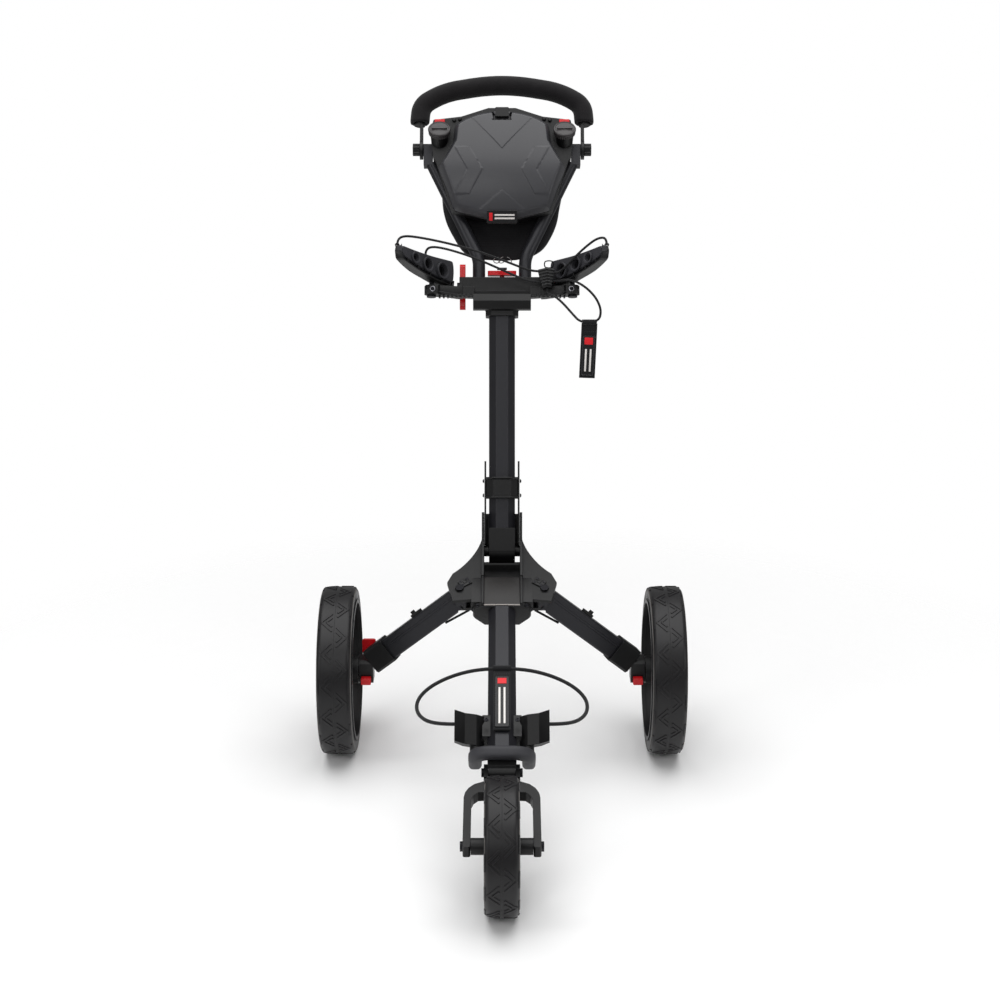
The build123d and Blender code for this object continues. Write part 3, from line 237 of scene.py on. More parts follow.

# ---- Pins, bolts and axles: turned steel with a black oxide, oiled.
# The oxide is thin, so the edges of the heads rub through to a grey; the grey edges are also a painted
# highlight.
steel = worn_and_highlit_coat("black_oxide_steel", "#1d1d20", "#6a6a70", 0.34, 0.7, 0.00005, metallic=0.8)
finish_nodes(steel, "frame_pins", "fork_bolts", "upper_pins", "rear_axle_left", "rear_axle_right", "lid_pin")


# ---- Tyres: foamed rubber rings, moulded in two halves, with double chevrons raised on the tread.
# The chevrons are small bars wrapped over the crown and shoulder; a pale flash line is left at each edge.
tyre_rubber = worn_and_highlit_coat("satin_tyre_rubber", "#121113", "#2c2a2d", 0.40, 1.8, 0.00020, mottle=0.2)
finish_nodes(tyre_rubber, "front_tyre", "rear_tyre_left", "rear_tyre_right")


def merged(parts):
    """Several (points, faces) pairs as one."""
    points, faces = [], []
    for more, loops in parts:
        start = len(points)
        points += [tuple(p) for p in more]
        faces += [tuple(i + start for i in loop) for loop in loops]
    return points, faces


def loft(rings, closed=False):
    """Points and faces through rings of points; closed joins the last ring to the first."""
    count, last = len(rings[0]), len(rings)
    faces = []
    for i in range(last if closed else last - 1):
        j = (i + 1) % last
        for k in range(count):
            m = (k + 1) % count
            faces.append((i * count + k, i * count + m, j * count + m, j * count + k))
    if not closed:
        faces.append(tuple(range(count))[::-1])
        faces.append(tuple(range((last - 1) * count, last * count)))
    return [p for ring in rings for p in ring], faces


def solid(name, points, faces, place=None, soften=0.0, sharp=35.0):
    """Closed mesh with merged doubles, rounded edges and faces turned outwards, moved to its place."""
    shape = bmesh.new()
    made = [shape.verts.new(p) for p in points]
    for loop in faces:
        shape.faces.new([made[i] for i in loop])
    bmesh.ops.remove_doubles(shape, verts=shape.verts, dist=1e-6)
    if soften:
        edges = [e for e in shape.edges if e.is_manifold and e.calc_face_angle() > math.radians(25)]
        bmesh.ops.bevel(shape, geom=edges, offset=soften, segments=2, affect="EDGES", profile=0.6)
    if place is not None:
        shape.transform(place)
    bmesh.ops.recalc_face_normals(shape, faces=shape.faces)
    if shape.calc_volume(signed=True) < 0:
        bmesh.ops.reverse_faces(shape, faces=shape.faces)
    mesh = bpy.data.meshes.new(name)
    shape.to_mesh(mesh)
    shape.free()
    mesh.shade_smooth()
    mesh.set_sharp_from_angle(angle=math.radians(sharp))
    return mesh


def part(name, shapes, place, material, body, soften=0.0, stands_for=()):
    """Piece made of closed shapes, softened and moved to its place."""
    mesh = solid(name, *merged(shapes), place=place, soften=soften)
    return piece(name, mesh, material, body, stands_for)


def turned(section, centre, steps=128):
    """Closed section of (x, radius) pairs turned about the X axis through a centre."""
    rings = []
    for i in range(steps):
        a = 2 * math.pi * i / steps
        rings.append([(centre[0] + x, centre[1] + r * math.sin(a), centre[2] + r * math.cos(a))
                      for x, r in section])
    return loft(rings, closed=True)


def empty_tree(name, inputs):
    """Geometry node tree that gives geometry, and its named inputs."""
    tree = bpy.data.node_groups.new(name, "GeometryNodeTree")
    tree.interface.new_socket("Geometry", in_out="OUTPUT", socket_type="NodeSocketGeometry")
    for label, kind in inputs:
        tree.interface.new_socket(label, in_out="INPUT", socket_type="NodeSocket" + kind)
    return tree, add(tree, "NodeGroupInput").outputs


def copies_out(tree, given, sockets):
    """End of a tree: the given piece set on points, made real and coated with the given finish."""
    item = add(tree, "GeometryNodeObjectInfo", {"Object": given["Piece"]})
    copies = add(tree, "GeometryNodeInstanceOnPoints", {"Instance": item.outputs["Geometry"], **sockets})
    real = add(tree, "GeometryNodeRealizeInstances", {"Geometry": copies.outputs[0]})
    coated = add(tree, "GeometryNodeSetMaterial", {"Geometry": real.outputs[0], "Material": given["Finish"]})
    add(tree, "NodeGroupOutput", {"Geometry": coated.outputs[0]})


# Copies of a piece, each moved by a step and turned by a turn from the one before.
REPEAT, given = empty_tree("repeat", (("Piece", "Object"), ("Count", "Int"), ("Step", "Vector"),
                                      ("Turn", "Vector"), ("Finish", "Material")))
line = add(REPEAT, "GeometryNodeMeshLine", {"Count": given["Count"], "Offset": given["Step"]})
turn = add(REPEAT, "ShaderNodeVectorMath",
           {0: given["Turn"], "Scale": add(REPEAT, "GeometryNodeInputIndex").outputs[0]}, operation="SCALE")
copies_out(REPEAT, given, {"Points": line.outputs[0], "Rotation": turn.outputs[0]})


def evaluated(thing):
    """Plain mesh of an object with its modifiers or its curve's thickness."""
    bpy.context.view_layer.update()
    return bpy.data.meshes.new_from_object(thing.evaluated_get(bpy.context.evaluated_depsgraph_get()))


def grown(tree, host_mesh, seed, finish, **values):
    """Mesh that a geometry node tree makes of a small seed mesh."""
    host, item = placed("host", host_mesh), placed("item", seed)
    modifier = host.modifiers.new("grow", "NODES")
    modifier.node_group = tree
    values.update(Piece=item, Finish=finish)
    for socket in tree.interface.items_tree:
        if socket.in_out == "INPUT" and socket.name in values:
            modifier[socket.identifier] = values[socket.name]
    mesh = evaluated(host)
    host.modifiers.remove(modifier)
    for spare in (host, item):
        bpy.data.objects.remove(spare)
    return mesh


def repeated(seed, count, step, finish, place, turn=(0, 0, 0)):
    """Row or ring of one small mesh, moved to its place."""
    mesh = grown(REPEAT, bpy.data.meshes.new("row"), seed, finish, Count=count, Step=step, Turn=turn)
    mesh.transform(place)
    return mesh


flash = worn_and_highlit_coat("pale_mould_flash", "#5e5a57", "#7a7672", 0.6, 0.8, 0.0001)
TREAD_HEIGHT = 0.0012
BAR_HALF = 0.0014
SHOULDER = 0.009


def chevron(radius, flat, hand, lag):
    """One nested pair of V bars, wrapped over the crown and the shoulder."""
    parts = []
    for route in (((0.004, -0.018), (0.022, 0.0), (0.004, 0.018)),
                  ((0.004, -0.009), (0.0135, 0.0), (0.004, 0.009)),
                  ((0.0265, -0.014), (0.0265, 0.014))):
        for (u0, s0), (u1, s1) in zip(route, route[1:]):
            length = math.hypot(u1 - u0, s1 - s0)
            across = (-(s1 - s0) / length, (u1 - u0) / length)
            rings = []
            for step in range(7):
                f = step / 6
                ring = []
                for reach, rise in ((-1.4, -0.0006), (1.4, -0.0006), (1, TREAD_HEIGHT), (-1, TREAD_HEIGHT)):
                    u = u0 + (u1 - u0) * f + across[0] * BAR_HALF * reach
                    s = s0 + (s1 - s0) * f + across[1] * BAR_HALF * reach + lag
                    bend = max(0.0, u - flat) / SHOULDER
                    x = min(u, flat) + (SHOULDER + rise) * math.sin(bend)
                    r = radius - SHOULDER + (SHOULDER + rise) * math.cos(bend)
                    ring.append((hand * x, r * math.sin(s / radius), r * math.cos(s / radius)))
                rings.append(ring)
            parts.append(loft(rings))
    return parts


def tyre_relief(name, body, pitch):
    """Tread ring, crown seam and flash lines of one tyre."""
    low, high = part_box(name)
    centre, radius, half = (low + high) / 2, (high.z - low.z) / 2, (high.x - low.x) / 2
    flat = half - SHOULDER
    count = round(2 * math.pi * radius / pitch)
    lag = math.pi * radius / count
    seed = solid("chevrons", *merged(chevron(radius, flat, 1, 0) + chevron(radius, flat, -1, lag)), sharp=50)
    ring = repeated(seed, count, (0, 0, 0), tyre_rubber, Matrix.Translation(centre),
                    (2 * math.pi / count, 0, 0))
    piece(name + "_tread", ring, tyre_rubber, body)
    seam = [(-0.0005, radius - 0.0005), (0.0005, radius - 0.0005), (0.0003, radius + 0.0003),
            (-0.0003, radius + 0.0003)]
    rings = [turned(seam, centre)]
    for ring_radius in (radius - 0.013, radius - 0.0165):
        for hand in (-1, 1):
            edge = hand * half
            rings.append(turned([(edge - hand * 0.0006, ring_radius - 0.0007),
                                 (edge + hand * 0.0005, ring_radius),
                                 (edge - hand * 0.0006, ring_radius + 0.0007)], centre))
    part(name + "_rings", rings, None, tyre_rubber, body)
    lines = []
    for hand in (-1, 1):
        edge = hand * (half - 0.0009)
        lines.append(turned([(edge - 0.0006, radius - 0.0062), (edge + 0.0006, radius - 0.0062),
                             (edge + hand * 0.0006, radius - 0.0046), (edge - hand * 0.0006, radius - 0.0046)],
                            centre))
    part(name + "_flash", lines, None, flash, body)


tyre_relief("front_tyre", "front_wheel", 0.054)
tyre_relief("rear_tyre_left", "rear_wheel_left", 0.057)
tyre_relief("rear_tyre_right", "rear_wheel_right", 0.057)

# ---- Wheel covers: a moulded cap on each rear hub and a stepped lip inside each rim.
# Both are pressed on, in the rim's own nylon.
for name, hand in (("left", -1), ("right", 1)):
    low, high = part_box("rear_rim_" + name)
    centre = (low + high) / 2
    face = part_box("rear_axle_" + name)
    tip = (face[1].x if hand > 0 else face[0].x) - centre.x
    cap = turned([(tip - hand * 0.004, 0.010), (tip - hand * 0.004, 0.0225), (tip - hand * 0.001, 0.0225),
                  (tip + hand * 0.0015, 0.019), (tip + hand * 0.0022, 0.012), (tip + hand * 0.0022, 0.0002),
                  (tip + hand * 0.0008, 0.0001)], centre, 64)
    lips = [
        turned([(side * 0.0275, 0.1165), (side * 0.0275, 0.1225), (side * 0.0225, 0.1225),
                (side * 0.0205, 0.1165)], centre)
        for side in (-1, 1)
    ]
    part("rear_rim_lips_" + name, lips + [cap], None, nylon, "rear_wheel_" + name)


# ---- Elastic cords: rubber cores in a black braided sheath, 6 mm round the bag's foot and 4 mm above.
# Each follows its own smooth route; the upper ones hang between the arm tips and the buckle.
def textured(tree, tint, height, dark, pale, strength, depth, roughness, gloss, sheen=0.0):
    """Finish a material's tree: a colour between two tones, a relief, and the sheen of fibre."""
    tone = add(tree, "ShaderNodeMix", {0: tint, 6: linear(dark), 7: linear(pale)}, data_type="RGBA")
    relief = add(tree, "ShaderNodeBump", {"Height": height, "Strength": strength, "Distance": depth})
    surface = add(tree, "ShaderNodeBsdfPrincipled",
                  {"Base Color": tone.outputs[2], "Roughness": roughness, "Normal": relief.outputs[0],
                   "Sheen Weight": sheen, "Specular IOR Level": gloss})
    add(tree, "ShaderNodeOutputMaterial", {"Surface": surface.outputs[0]})


braid, tree = blank_material("black_braided_sheath")
place = add(tree, "ShaderNodeTexCoord").outputs["Object"]
# Braid plaits are about 1 mm; drawn a little coarser so that they show.
plait_a = add(tree, "ShaderNodeTexWave", {"Vector": place, "Scale": 190.0, "Distortion": 1.5},
              bands_direction="DIAGONAL")
plait_b = add(tree, "ShaderNodeTexWave", {"Vector": place, "Scale": 230.0, "Distortion": 1.0},
              bands_direction="X")
plaits = add(tree, "ShaderNodeMath", {0: plait_a.outputs["Fac"], 1: plait_b.outputs["Fac"]},
             operation="MULTIPLY")
textured(tree, plaits.outputs[0], plaits.outputs[0], "#08080a", "#242427", 0.7, 0.0004, 0.62, 0.3, 0.1)


def route_curve(name, points, diameter):
    """Smooth open NURBS curve with the route's points as its control points."""
    data = bpy.data.curves.new(name, "CURVE")
    data.dimensions = "3D"
    spline = data.splines.new("NURBS")
    spline.points.add(len(points) - 1)
    for slot, point in zip(spline.points, points):
        slot.co = (*point, 1)
    spline.order_u = 3
    spline.use_endpoint_u = True
    spline.resolution_u = 12
    data.bevel_depth = diameter / 2
    data.bevel_resolution = 5
    data.use_fill_caps = True
    return placed(name, data)


LOWER_CORD, UPPER_CORD = 0.006, 0.004
LOWER_HALF = [
    (-0.07405, -0.234, 0.2056), (-0.096, -0.234, 0.2056), (-0.121, -0.212, 0.201), (-0.136, -0.180, 0.202),
    (-0.135, -0.150, 0.211), (-0.114, -0.130, 0.225), (-0.075, -0.117, 0.239), (-0.030, -0.1104, 0.2462),
]
LOWER_ROUTE = LOWER_HALF + [(-x, y, z) for x, y, z in reversed(LOWER_HALF)]
lower_loop = route_curve("lower_bag_cord", LOWER_ROUTE, LOWER_CORD)
lower_loop.data.materials.append(braid)
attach(lower_loop, "frame")
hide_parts("lower_cord")
# The cradle's line: local x is sideways, y points forward and z stands above the arms.
CRADLE = Matrix(((1, 0, 0, 0), (0, -0.91355, 0.40674, 0.3235), (0, 0.40674, 0.91355, 0.768), (0, 0, 0, 1)))


def cradle_route(points):
    """Route given by the cradle in millimetres, as points in metres."""
    return [CRADLE @ (Vector(p) / 1000) for p in points]


def line_points(curve):
    """Points along the middle of a curve."""
    depth, curve.data.bevel_depth = curve.data.bevel_depth, 0.0
    caps, curve.data.use_fill_caps = curve.data.use_fill_caps, False
    line = evaluated(curve)
    curve.data.bevel_depth, curve.data.use_fill_caps = depth, caps
    return [tuple(v.co) for v in line.vertices]


STRANDS = {
    "upper_cord_high": [(-176, 128, 57.05), (-176, 128, 67), (-165, 125, 74), (-140, 118, 73), (-98, 103, 68),
                        (-50, 84, 60), (-6, 65, 49), (28, 50, 39), (52, 42, 32), (67.95, 42, 32)],
    "upper_cord_low": [(-132, 50, 57.05), (-132, 50, 67), (-122, 54, 73), (-96, 58, 68), (-54, 57, 55),
                       (-12, 51, 38), (22, 44, 24), (48, 40, 14), (67.95, 40, 14)],
    "upper_cord_right": [(176, 129, 57.05), (176, 129, 70), (161, 121, 71), (144, 104, 62), (126, 80, 50),
                         (111, 58, 38), (98, 42, 29), (88.05, 42, 29)],
}
for name, length in (("upper_cord_high", 0.275), ("upper_cord_low", 0.223), ("upper_cord_right", 0.146)):
    points = cradle_route(STRANDS[name])
    curve = route_curve(name + "_line", points, UPPER_CORD)
    path = line_points(curve)
    strand = piece(name + "_strand", evaluated(curve), braid)
    bpy.data.objects.remove(curve)
    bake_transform(strand)
    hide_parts(name)

PULL_ROUTE = [(88.05, 40, 15), (98, 40, 15), (109, 58, 14), (124, 80, 7), (144, 92, -8), (161, 92, -27),
              (169, 86, -47), (164, 80, -64), (134, 72, -64), (120, 69, -48), (104, 64, -28), (88, 54, -12),
              (78, 40, -8), (78, 40, 1.95)]
pull_points = cradle_route(PULL_ROUTE)
pull_loop = route_curve("pull_loop_cord", pull_points, UPPER_CORD)
pull_loop.data.materials.append(braid)
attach(pull_loop, "upper_frame")
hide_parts("pull_cord")

# ---- Pull tabs: folded polyester webbing, 27 mm wide, sewn over the cord, with a moulded badge.
# The badge carries a red square and two plain white bars; a row of stitches runs down each edge.
webbing, tree = blank_material("black_polyester_webbing")
place = add(tree, "ShaderNodeTexCoord").outputs["Object"]
# Webbing ribs are about 1 mm apart.
weave, fill = (add(tree, "ShaderNodeTexWave", {"Vector": place, "Scale": 160.0, "Distortion": 0.6},
                   bands_direction=direction) for direction in "ZX")
cross = add(tree, "ShaderNodeMath", {0: weave.outputs["Fac"], 1: fill.outputs["Fac"]}, operation="MULTIPLY")
textured(tree, cross.outputs[0], cross.outputs[0], "#0b0b0d", "#232326", 0.6, 0.0003, 0.8, 0.2, 0.15)
badge = worn_and_highlit_coat("black_moulded_badge", "#141416", "#8a8a8e", 0.4, 0.8, 0.00005, edge=0.0006)
red_paint = worn_and_highlit_coat("red_badge_paint", "#e01f28", "#ee5050", 0.45, 0.8, 0.00003, mottle=0.08)
white_paint = worn_and_highlit_coat("white_badge_paint", "#e8e4e0", "#f4f2f0", 0.5, 0.8, 0.00003, mottle=0.05)
thread = worn_and_highlit_coat("black_sewing_thread", "#2a2a2c", "#4a4a4c", 0.7, 0.5, 0.00005)


def block(x0, x1, y0, y1, z0, z1):
    """Points and faces of a box."""
    return loft([[(x0, y0, z), (x1, y0, z), (x1, y1, z), (x0, y1, z)] for z in (z0, z1)])


TAB_HALF, TAB_HALF_THICK = 0.0135, 0.0014
STITCH_PITCH = 0.004


def sewn_tab(name, place, length, body, stands_for, bow):
    """Tab that hangs along local -y with its badge on local +z, bowed by up to two millimetres."""
    half, thick = TAB_HALF, TAB_HALF_THICK
    rings = []
    for i in range(25):
        y = -length * i / 24
        rise = bow * math.sin(math.pi * i / 24)
        rings.append([(-half, y, rise - thick), (half, y, rise - thick), (half, y, rise + thick),
                      (0, y, rise + thick + 0.0003), (-half, y, rise + thick)])
    part(name, [loft(rings)], place, webbing, body, 0.0004, stands_for)
    top = bow + thick + 0.0003
    low, under = top - 0.004, -length + 0.005
    badge_frame = [block(-0.0095, 0.0095, under + 0.001, -0.022, low, top + 0.0006),
                   block(-0.0105, -0.0095, under, -0.021, low, top + 0.0012),
                   block(0.0095, 0.0105, under, -0.021, low, top + 0.0012),
                   block(-0.0105, 0.0105, -0.022, -0.021, low, top + 0.0012),
                   block(-0.0105, 0.0105, under, under + 0.001, low, top + 0.0012)]
    part(name + "_badge", badge_frame, place, badge, body)
    square = block(-0.0072, 0.0072, -0.036, -0.024, top, top + 0.0011)
    part(name + "_red", [square], place, red_paint, body, 0.0003)
    bars = [block(x - 0.0016, x + 0.0016, -length + 0.012, -0.044, top, top + 0.0010) for x in (-0.004, 0.004)]
    part(name + "_bars", bars, place, white_paint, body, 0.0003)
    stitch = solid("stitch", *block(-0.0004, 0.0004, -0.0012, 0.0012, -0.0003, 0.0006), soften=0.0002)
    along = round(length / STITCH_PITCH) - 2
    for i, (count, step, start) in enumerate((
        (along, (0, -STITCH_PITCH, 0), (-0.0122, -0.005, bow * 0.6 + thick)),
        (along, (0, -STITCH_PITCH, 0), (0.0122, -0.005, bow * 0.6 + thick)),
        (7, (0.0036, 0, 0), (-0.0108, -0.014, bow * 0.4 + thick)),
    )):
        row = repeated(stitch, count, step, thread, place @ Matrix.Translation(start))
        piece(f"{name}_stitches_{i}", row, thread, body)


def over(y, z, slope):
    """Matrix of a layout line that rises toward the back: y runs along it and z stands above it."""
    rise = math.radians(slope)
    return Matrix((
        (1, 0, 0, 0), (0, math.cos(rise), -math.sin(rise), y), (0, math.sin(rise), math.cos(rise), z),
        (0, 0, 0, 1),
    ))


LOWER = over(-0.2785, 0.144, 23.7)
sewn_tab("lower_pull_tab", LOWER @ Matrix.Translation((0, 0.197, 0.0245)), 0.132, "frame", ["lower_cord_tab"],
         0.0008)
sleeve = loft([[(x, 0.0053 * math.cos(2 * math.pi * k / 33), 0.0053 * math.sin(2 * math.pi * k / 33))
                for k in range(33)] for x in (-0.0142, -0.0136, 0.0136, 0.0142)])
lower_sleeve = part("lower_tab_sleeve", [sleeve], LOWER @ Matrix.Translation((0, 0.195, 0.026)), webbing,
                    "frame")

tab_top = CRADLE @ Vector((0.149, 0.076, -0.064))
down = Matrix.Translation(tab_top + Vector((0, 0, -0.002))) @ Matrix.Rotation(math.radians(88), 4, "X")
down = down @ Matrix.Rotation(math.radians(-2.0), 4, "Z")
sewn_tab("hanging_pull_tab", down, 0.095, "upper_frame", ["pull_tab"], 0.0015)
sleeve = loft([[(x, 0.0046 * math.cos(k * math.pi / 16), 0.0046 * math.sin(k * math.pi / 16))
                for k in range(32)] for x in (-0.0125, -0.012, 0.012, 0.0125)])
pull_sleeve = part("pull_tab_sleeve", [sleeve], Matrix.Translation(tab_top), webbing, "upper_frame")

# ---- Grip: a closed-cell foam tube pushed over the bar, soft and slightly swollen.
# Its ends are cut square and rounded by use; the skin is dull and finely pitted.
foam, tree = blank_material("black_closed_cell_foam")
place = add(tree, "ShaderNodeTexCoord").outputs["Object"]
# Foam cells are under 0.5 mm; drawn at about 1 mm so that they show.
cells = add(tree, "ShaderNodeTexVoronoi", {"Vector": place, "Scale": 900.0})
cloud = add(tree, "ShaderNodeTexNoise", {"Vector": place, "Scale": 60.0, "Detail": 5.0})
textured(tree, cloud.outputs["Fac"], cells.outputs["Distance"], "#0c0b0c", "#1c1a1c", 0.5, 0.0003, 0.86,
         0.18, 0.12)


def softened(name, voxel, smooth):
    """Copy of a CAD node with merged points, remeshed and rounded."""
    shape = bmesh.new()
    shape.from_mesh(node[name].data)
    bmesh.ops.remove_doubles(shape, verts=shape.verts, dist=1e-5)
    mesh = bpy.data.meshes.new(name + "_soft")
    shape.to_mesh(mesh)
    shape.free()
    host = placed("host", mesh)
    remesh = host.modifiers.new("remesh", "REMESH")
    remesh.mode = "VOXEL"
    remesh.voxel_size = voxel
    relax = host.modifiers.new("smooth", "SMOOTH")
    relax.iterations = smooth
    relax.factor = 0.5
    done = evaluated(host)
    host.modifiers.clear()
    bpy.data.objects.remove(host)
    done.shade_smooth()
    return done


grip = piece("foam_grip", softened("grip_foam", 0.0022, 10), foam, "grip", ["grip_foam"])

# ---- Bag bumper: a U of soft grey rubber over a steel core, under the foot of the bag.
# It is pushed on the core and dull, with edges that are well rounded.
pad_rubber = worn_and_highlit_coat("grey_soft_rubber", "#323236", "#4c4c52", 0.55, 1.1, 0.00012)
finish_nodes(pad_rubber, "bag_foot", "cradle_pad_left", "cradle_pad_right")
piece("rubber_bag_foot", softened("bag_foot", 0.002, 6), pad_rubber, "frame", ["bag_foot"])


# ---- Cradle arms: curved glass-filled nylon shells that hug the bag, moulded with a lip along the foot.
# Ribs tie the lip to the shell, so a row of dark windows shows under the pad; the arm turns on a bolt.
def smooth_line(points, s):
    """Point at share s of a smooth line through the points."""
    reach = s * (len(points) - 1)
    i = min(int(reach), len(points) - 2)
    f = reach - i
    p = [points[max(i - 1, 0)], points[i], points[i + 1], points[min(i + 2, len(points) - 1)]]
    return tuple(
        0.5 * (2 * b + (c - a) * f + (2 * a - 5 * b + 4 * c - d) * f * f + (3 * b - a - 3 * c + d) * f ** 3)
        for a, b, c, d in zip(*p)
    )


PAD_FACE = [(84, 16), (96, 30), (120, 58), (146, 98), (168, 138)]
PAD_BACK = [(93, 10), (105, 23), (128, 51), (154, 92), (176, 133)]
SHELL_BACK = [(99, 8.5), (118, 16), (138, 42), (162, 80), (180, 132)]


def arm_ring(hand, s, section):
    """Ring at share s of the arm; section holds (share of pad thickness, share of shell thickness, height)."""
    face, back, shell = (smooth_line(line, s) for line in (PAD_FACE, PAD_BACK, SHELL_BACK))
    ring = []
    for pad_share, shell_share, height in section:
        x = face[0] + (back[0] - face[0]) * pad_share + (shell[0] - back[0]) * shell_share
        n = face[1] + (back[1] - face[1]) * pad_share + (shell[1] - back[1]) * shell_share
        ring.append((hand * x / 1000, n / 1000, height / 1000))
    return ring


def pad_low(s):
    """Height of the pad's curved lower edge at share s."""
    return 16 + 25 * s ** 1.6


def end_round(s, reach):
    """Drop of an edge where it rounds into the arm's ends."""
    near = min(s, 1 - s) / reach
    return 0.0 if near >= 1 else 1 - math.sqrt(max(0.0, 1 - (1 - near) ** 2))


for name, hand in (("left", -1), ("right", 1)):
    body = "cradle_arm_" + name
    rings = []
    for i in range(41):
        s = i / 40
        low = pad_low(s) - 7.4 + 10 * end_round(s, 0.05)
        top = 57 - 8 * end_round(s, 0.05)
        rings.append(arm_ring(hand, s, [(0.92, 0, top), (1, 0.9, top), (1, 1, top - 2), (1, 1, low + 2),
                                        (1, 0.6, low), (-0.05, 0, low), (-0.15, 0, low + 1.4),
                                        (-0.05, 0, low + 3), (0.92, 0, low + 3)]))
    parts = [loft(rings)]
    for s in (0.14, 0.33, 0.52, 0.70, 0.86):
        low = pad_low(s) - 5
        parts.append(loft([arm_ring(hand, s + step, [(0, 0, low), (0.95, 0, low), (0.95, 0, low + 6),
                                                     (0, 0, low + 6)]) for step in (-0.012, 0.012)]))
    hooks = []
    for x, n in ((176, 128), (132, 50)) if hand < 0 else ((176, 129),):
        for reach in (-4.5, 4.5):
            rings = []
            for k in range(17):
                a = math.pi * k / 16
                rings.append([((hand * x + (3.2 + 0.9 * math.cos(b)) * math.cos(a)) / 1000,
                               (n + reach + 0.9 * math.sin(b)) / 1000,
                               (56 + (3.2 + 0.9 * math.cos(b)) * math.sin(a)) / 1000)
                              for b in [math.pi * m / 4 for m in range(8)]])
            hooks.append(loft(rings))
    part(body + "_shell", parts, CRADLE, nylon, body, 0.0005, [body])
    part(body + "_hooks", hooks, CRADLE, nylon, body)

# ---- Cradle pads: grey soft rubber, tall and rounded at the inner end and tapered to the tip.
# Each has three growing holes with raised rims; it is pressed into the shell.
rings = []
for i in range(49):
    s = i / 48
    low = pad_low(s) + 14 * end_round(s, 0.09)
    top = 56 - 13 * end_round(s, 0.09)
    rings.append(arm_ring(-1, s, [(0.98, 0, low), (0.3, 0, low), (0.04, 0, low + 1.5), (0, 0, low + 4),
                                  (0, 0, top - 4), (0.04, 0, top - 1.5), (0.3, 0, top), (0.98, 0, top)]))
pad = placed("pad_blank", solid("pad_blank", *loft(rings), sharp=45))
PAD_AXIS = Vector((-0.83, -0.56, 0)).normalized()
PAD_ACROSS = Vector((PAD_AXIS.y, -PAD_AXIS.x, 0))


def hole_ring(centre, out, radius):
    """Slightly oval ring about a pad hole's axis."""
    turns = [2 * math.pi * k / 48 for k in range(48)]
    return [centre + PAD_AXIS * out + PAD_ACROSS * radius * 1.12 * math.cos(a)
            + Vector((0, 0, radius * math.sin(a))) for a in turns]


drills, rims = [], []
for x, n, height, r in ((104, 39, 34, 0.0120), (128, 70, 38, 0.0100), (148, 101, 42, 0.0076)):
    centre = Vector((-x, n, height)) / 1000
    drills.append(loft([hole_ring(centre, -0.02, r), hole_ring(centre, 0.02, r)]))
    rims.append(loft([hole_ring(centre, out, r + wider) for out, wider in (
        (-0.0048, 0.0022), (-0.0047, 0.0007), (-0.0040, -0.0006), (0.0035, -0.0016), (0.0035, 0.0010),
        (-0.0038, 0.0025))], closed=True))
drill = placed("drill", solid("drill", *merged(drills)))
cut = pad.modifiers.new("holes", "BOOLEAN")
cut.operation = "DIFFERENCE"
cut.solver = "EXACT"
cut.object = drill
drilled = evaluated(pad)
for spare in (pad, drill):
    bpy.data.objects.remove(spare)
drilled.shade_smooth()
drilled.set_sharp_from_angle(angle=math.radians(40))
rim_mesh = solid("rims", *merged(rims))
MIRROR = Matrix.Diagonal((-1, 1, 1, 1))
# The cradle's matrix mirrors, so the left pad's faces are turned back; the right one is mirrored twice.
for name, flip in (("left", False), ("right", True)):
    body = "cradle_arm_" + name
    for suffix, source, stands_for in (("_moulded", drilled, ["cradle_pad_" + name]), ("_rims", rim_mesh, [])):
        mesh = source.copy()
        mesh.transform(CRADLE @ MIRROR if flip else CRADLE)
        if not flip:
            mesh.flip_normals()
        piece("cradle_pad_" + name + suffix, mesh, pad_rubber, body, stands_for)

# ---- Cradle band trim: the curved ribs under the band that carry the arms' line on, in the same nylon.
# A row of teeth stands under each end, and a bolt with a bright washer faces forward on each boss.
bright_zinc = worn_and_highlit_coat("bright_zinc_plate", "#9a9aa0", "#d8d8dc", 0.28, 0.6, 0.00002, metallic=0.9)
parts, bolts, washers = [], [], []
for hand in (-1, 1):
    rings = []
    for i in range(25):
        f = i / 24
        x = 133 - 98 * f
        low = 0.5 - 12 * math.sin(f * math.pi / 2) ** 0.8
        front = 45 - 14 * f
        rings.append([(hand * x / 1000, n / 1000, b / 1000)
                      for n, b in ((16, low + 3), (front, low + 3), (front + 1, low + 1.5), (front, low),
                                   (16, low))])
    parts.append(loft(rings))
    parts.append(loft([[(hand * x / 1000, n / 1000, b / 1000)
                        for n, b in ((back, low), (front, low), (front, top), (back, top))]
                       for x, back, front, low, top in ((68, 11, 31, -11, 12), (77, 11, 33, -10.5, 8.2),
                                                        (104, 14, 39, -7, 8.2), (132, 24, 44, -2, 8.2))]))
    parts.append(block(hand * 0.1195 - 0.0095, hand * 0.1195 + 0.0095, 0.036, 0.0485, -0.0075, 0.0075))
    for out, start, end, where in ((0.0046, 0.0480, 0.0497, washers), (0.0034, 0.0497, 0.0515, bolts)):
        where.append(loft([[(hand * 0.1195 + out * math.cos(2 * math.pi * k / 32), n,
                             out * math.sin(2 * math.pi * k / 32)) for k in range(32)] for n in (start, end)]))
part("cradle_band_ribs", parts, CRADLE, nylon, "upper_frame", 0.0008)
part("cradle_bolt_washers", washers, CRADLE, bright_zinc, "upper_frame", 0.0003)
part("cradle_bolt_heads", bolts, CRADLE, steel, "upper_frame", 0.0003)
tooth = solid("tooth", *block(-0.0016, 0.0016, 0.022, 0.033, -0.0125, -0.0060), soften=0.0005)
for hand in (-1, 1):
    row = repeated(tooth, 10, (hand * -0.0072, 0, 0), nylon,
                   CRADLE @ Matrix.Translation((hand * 0.108, 0, 0.001)))
    piece("cradle_teeth_" + ("left" if hand < 0 else "right"), row, nylon, "upper_frame")

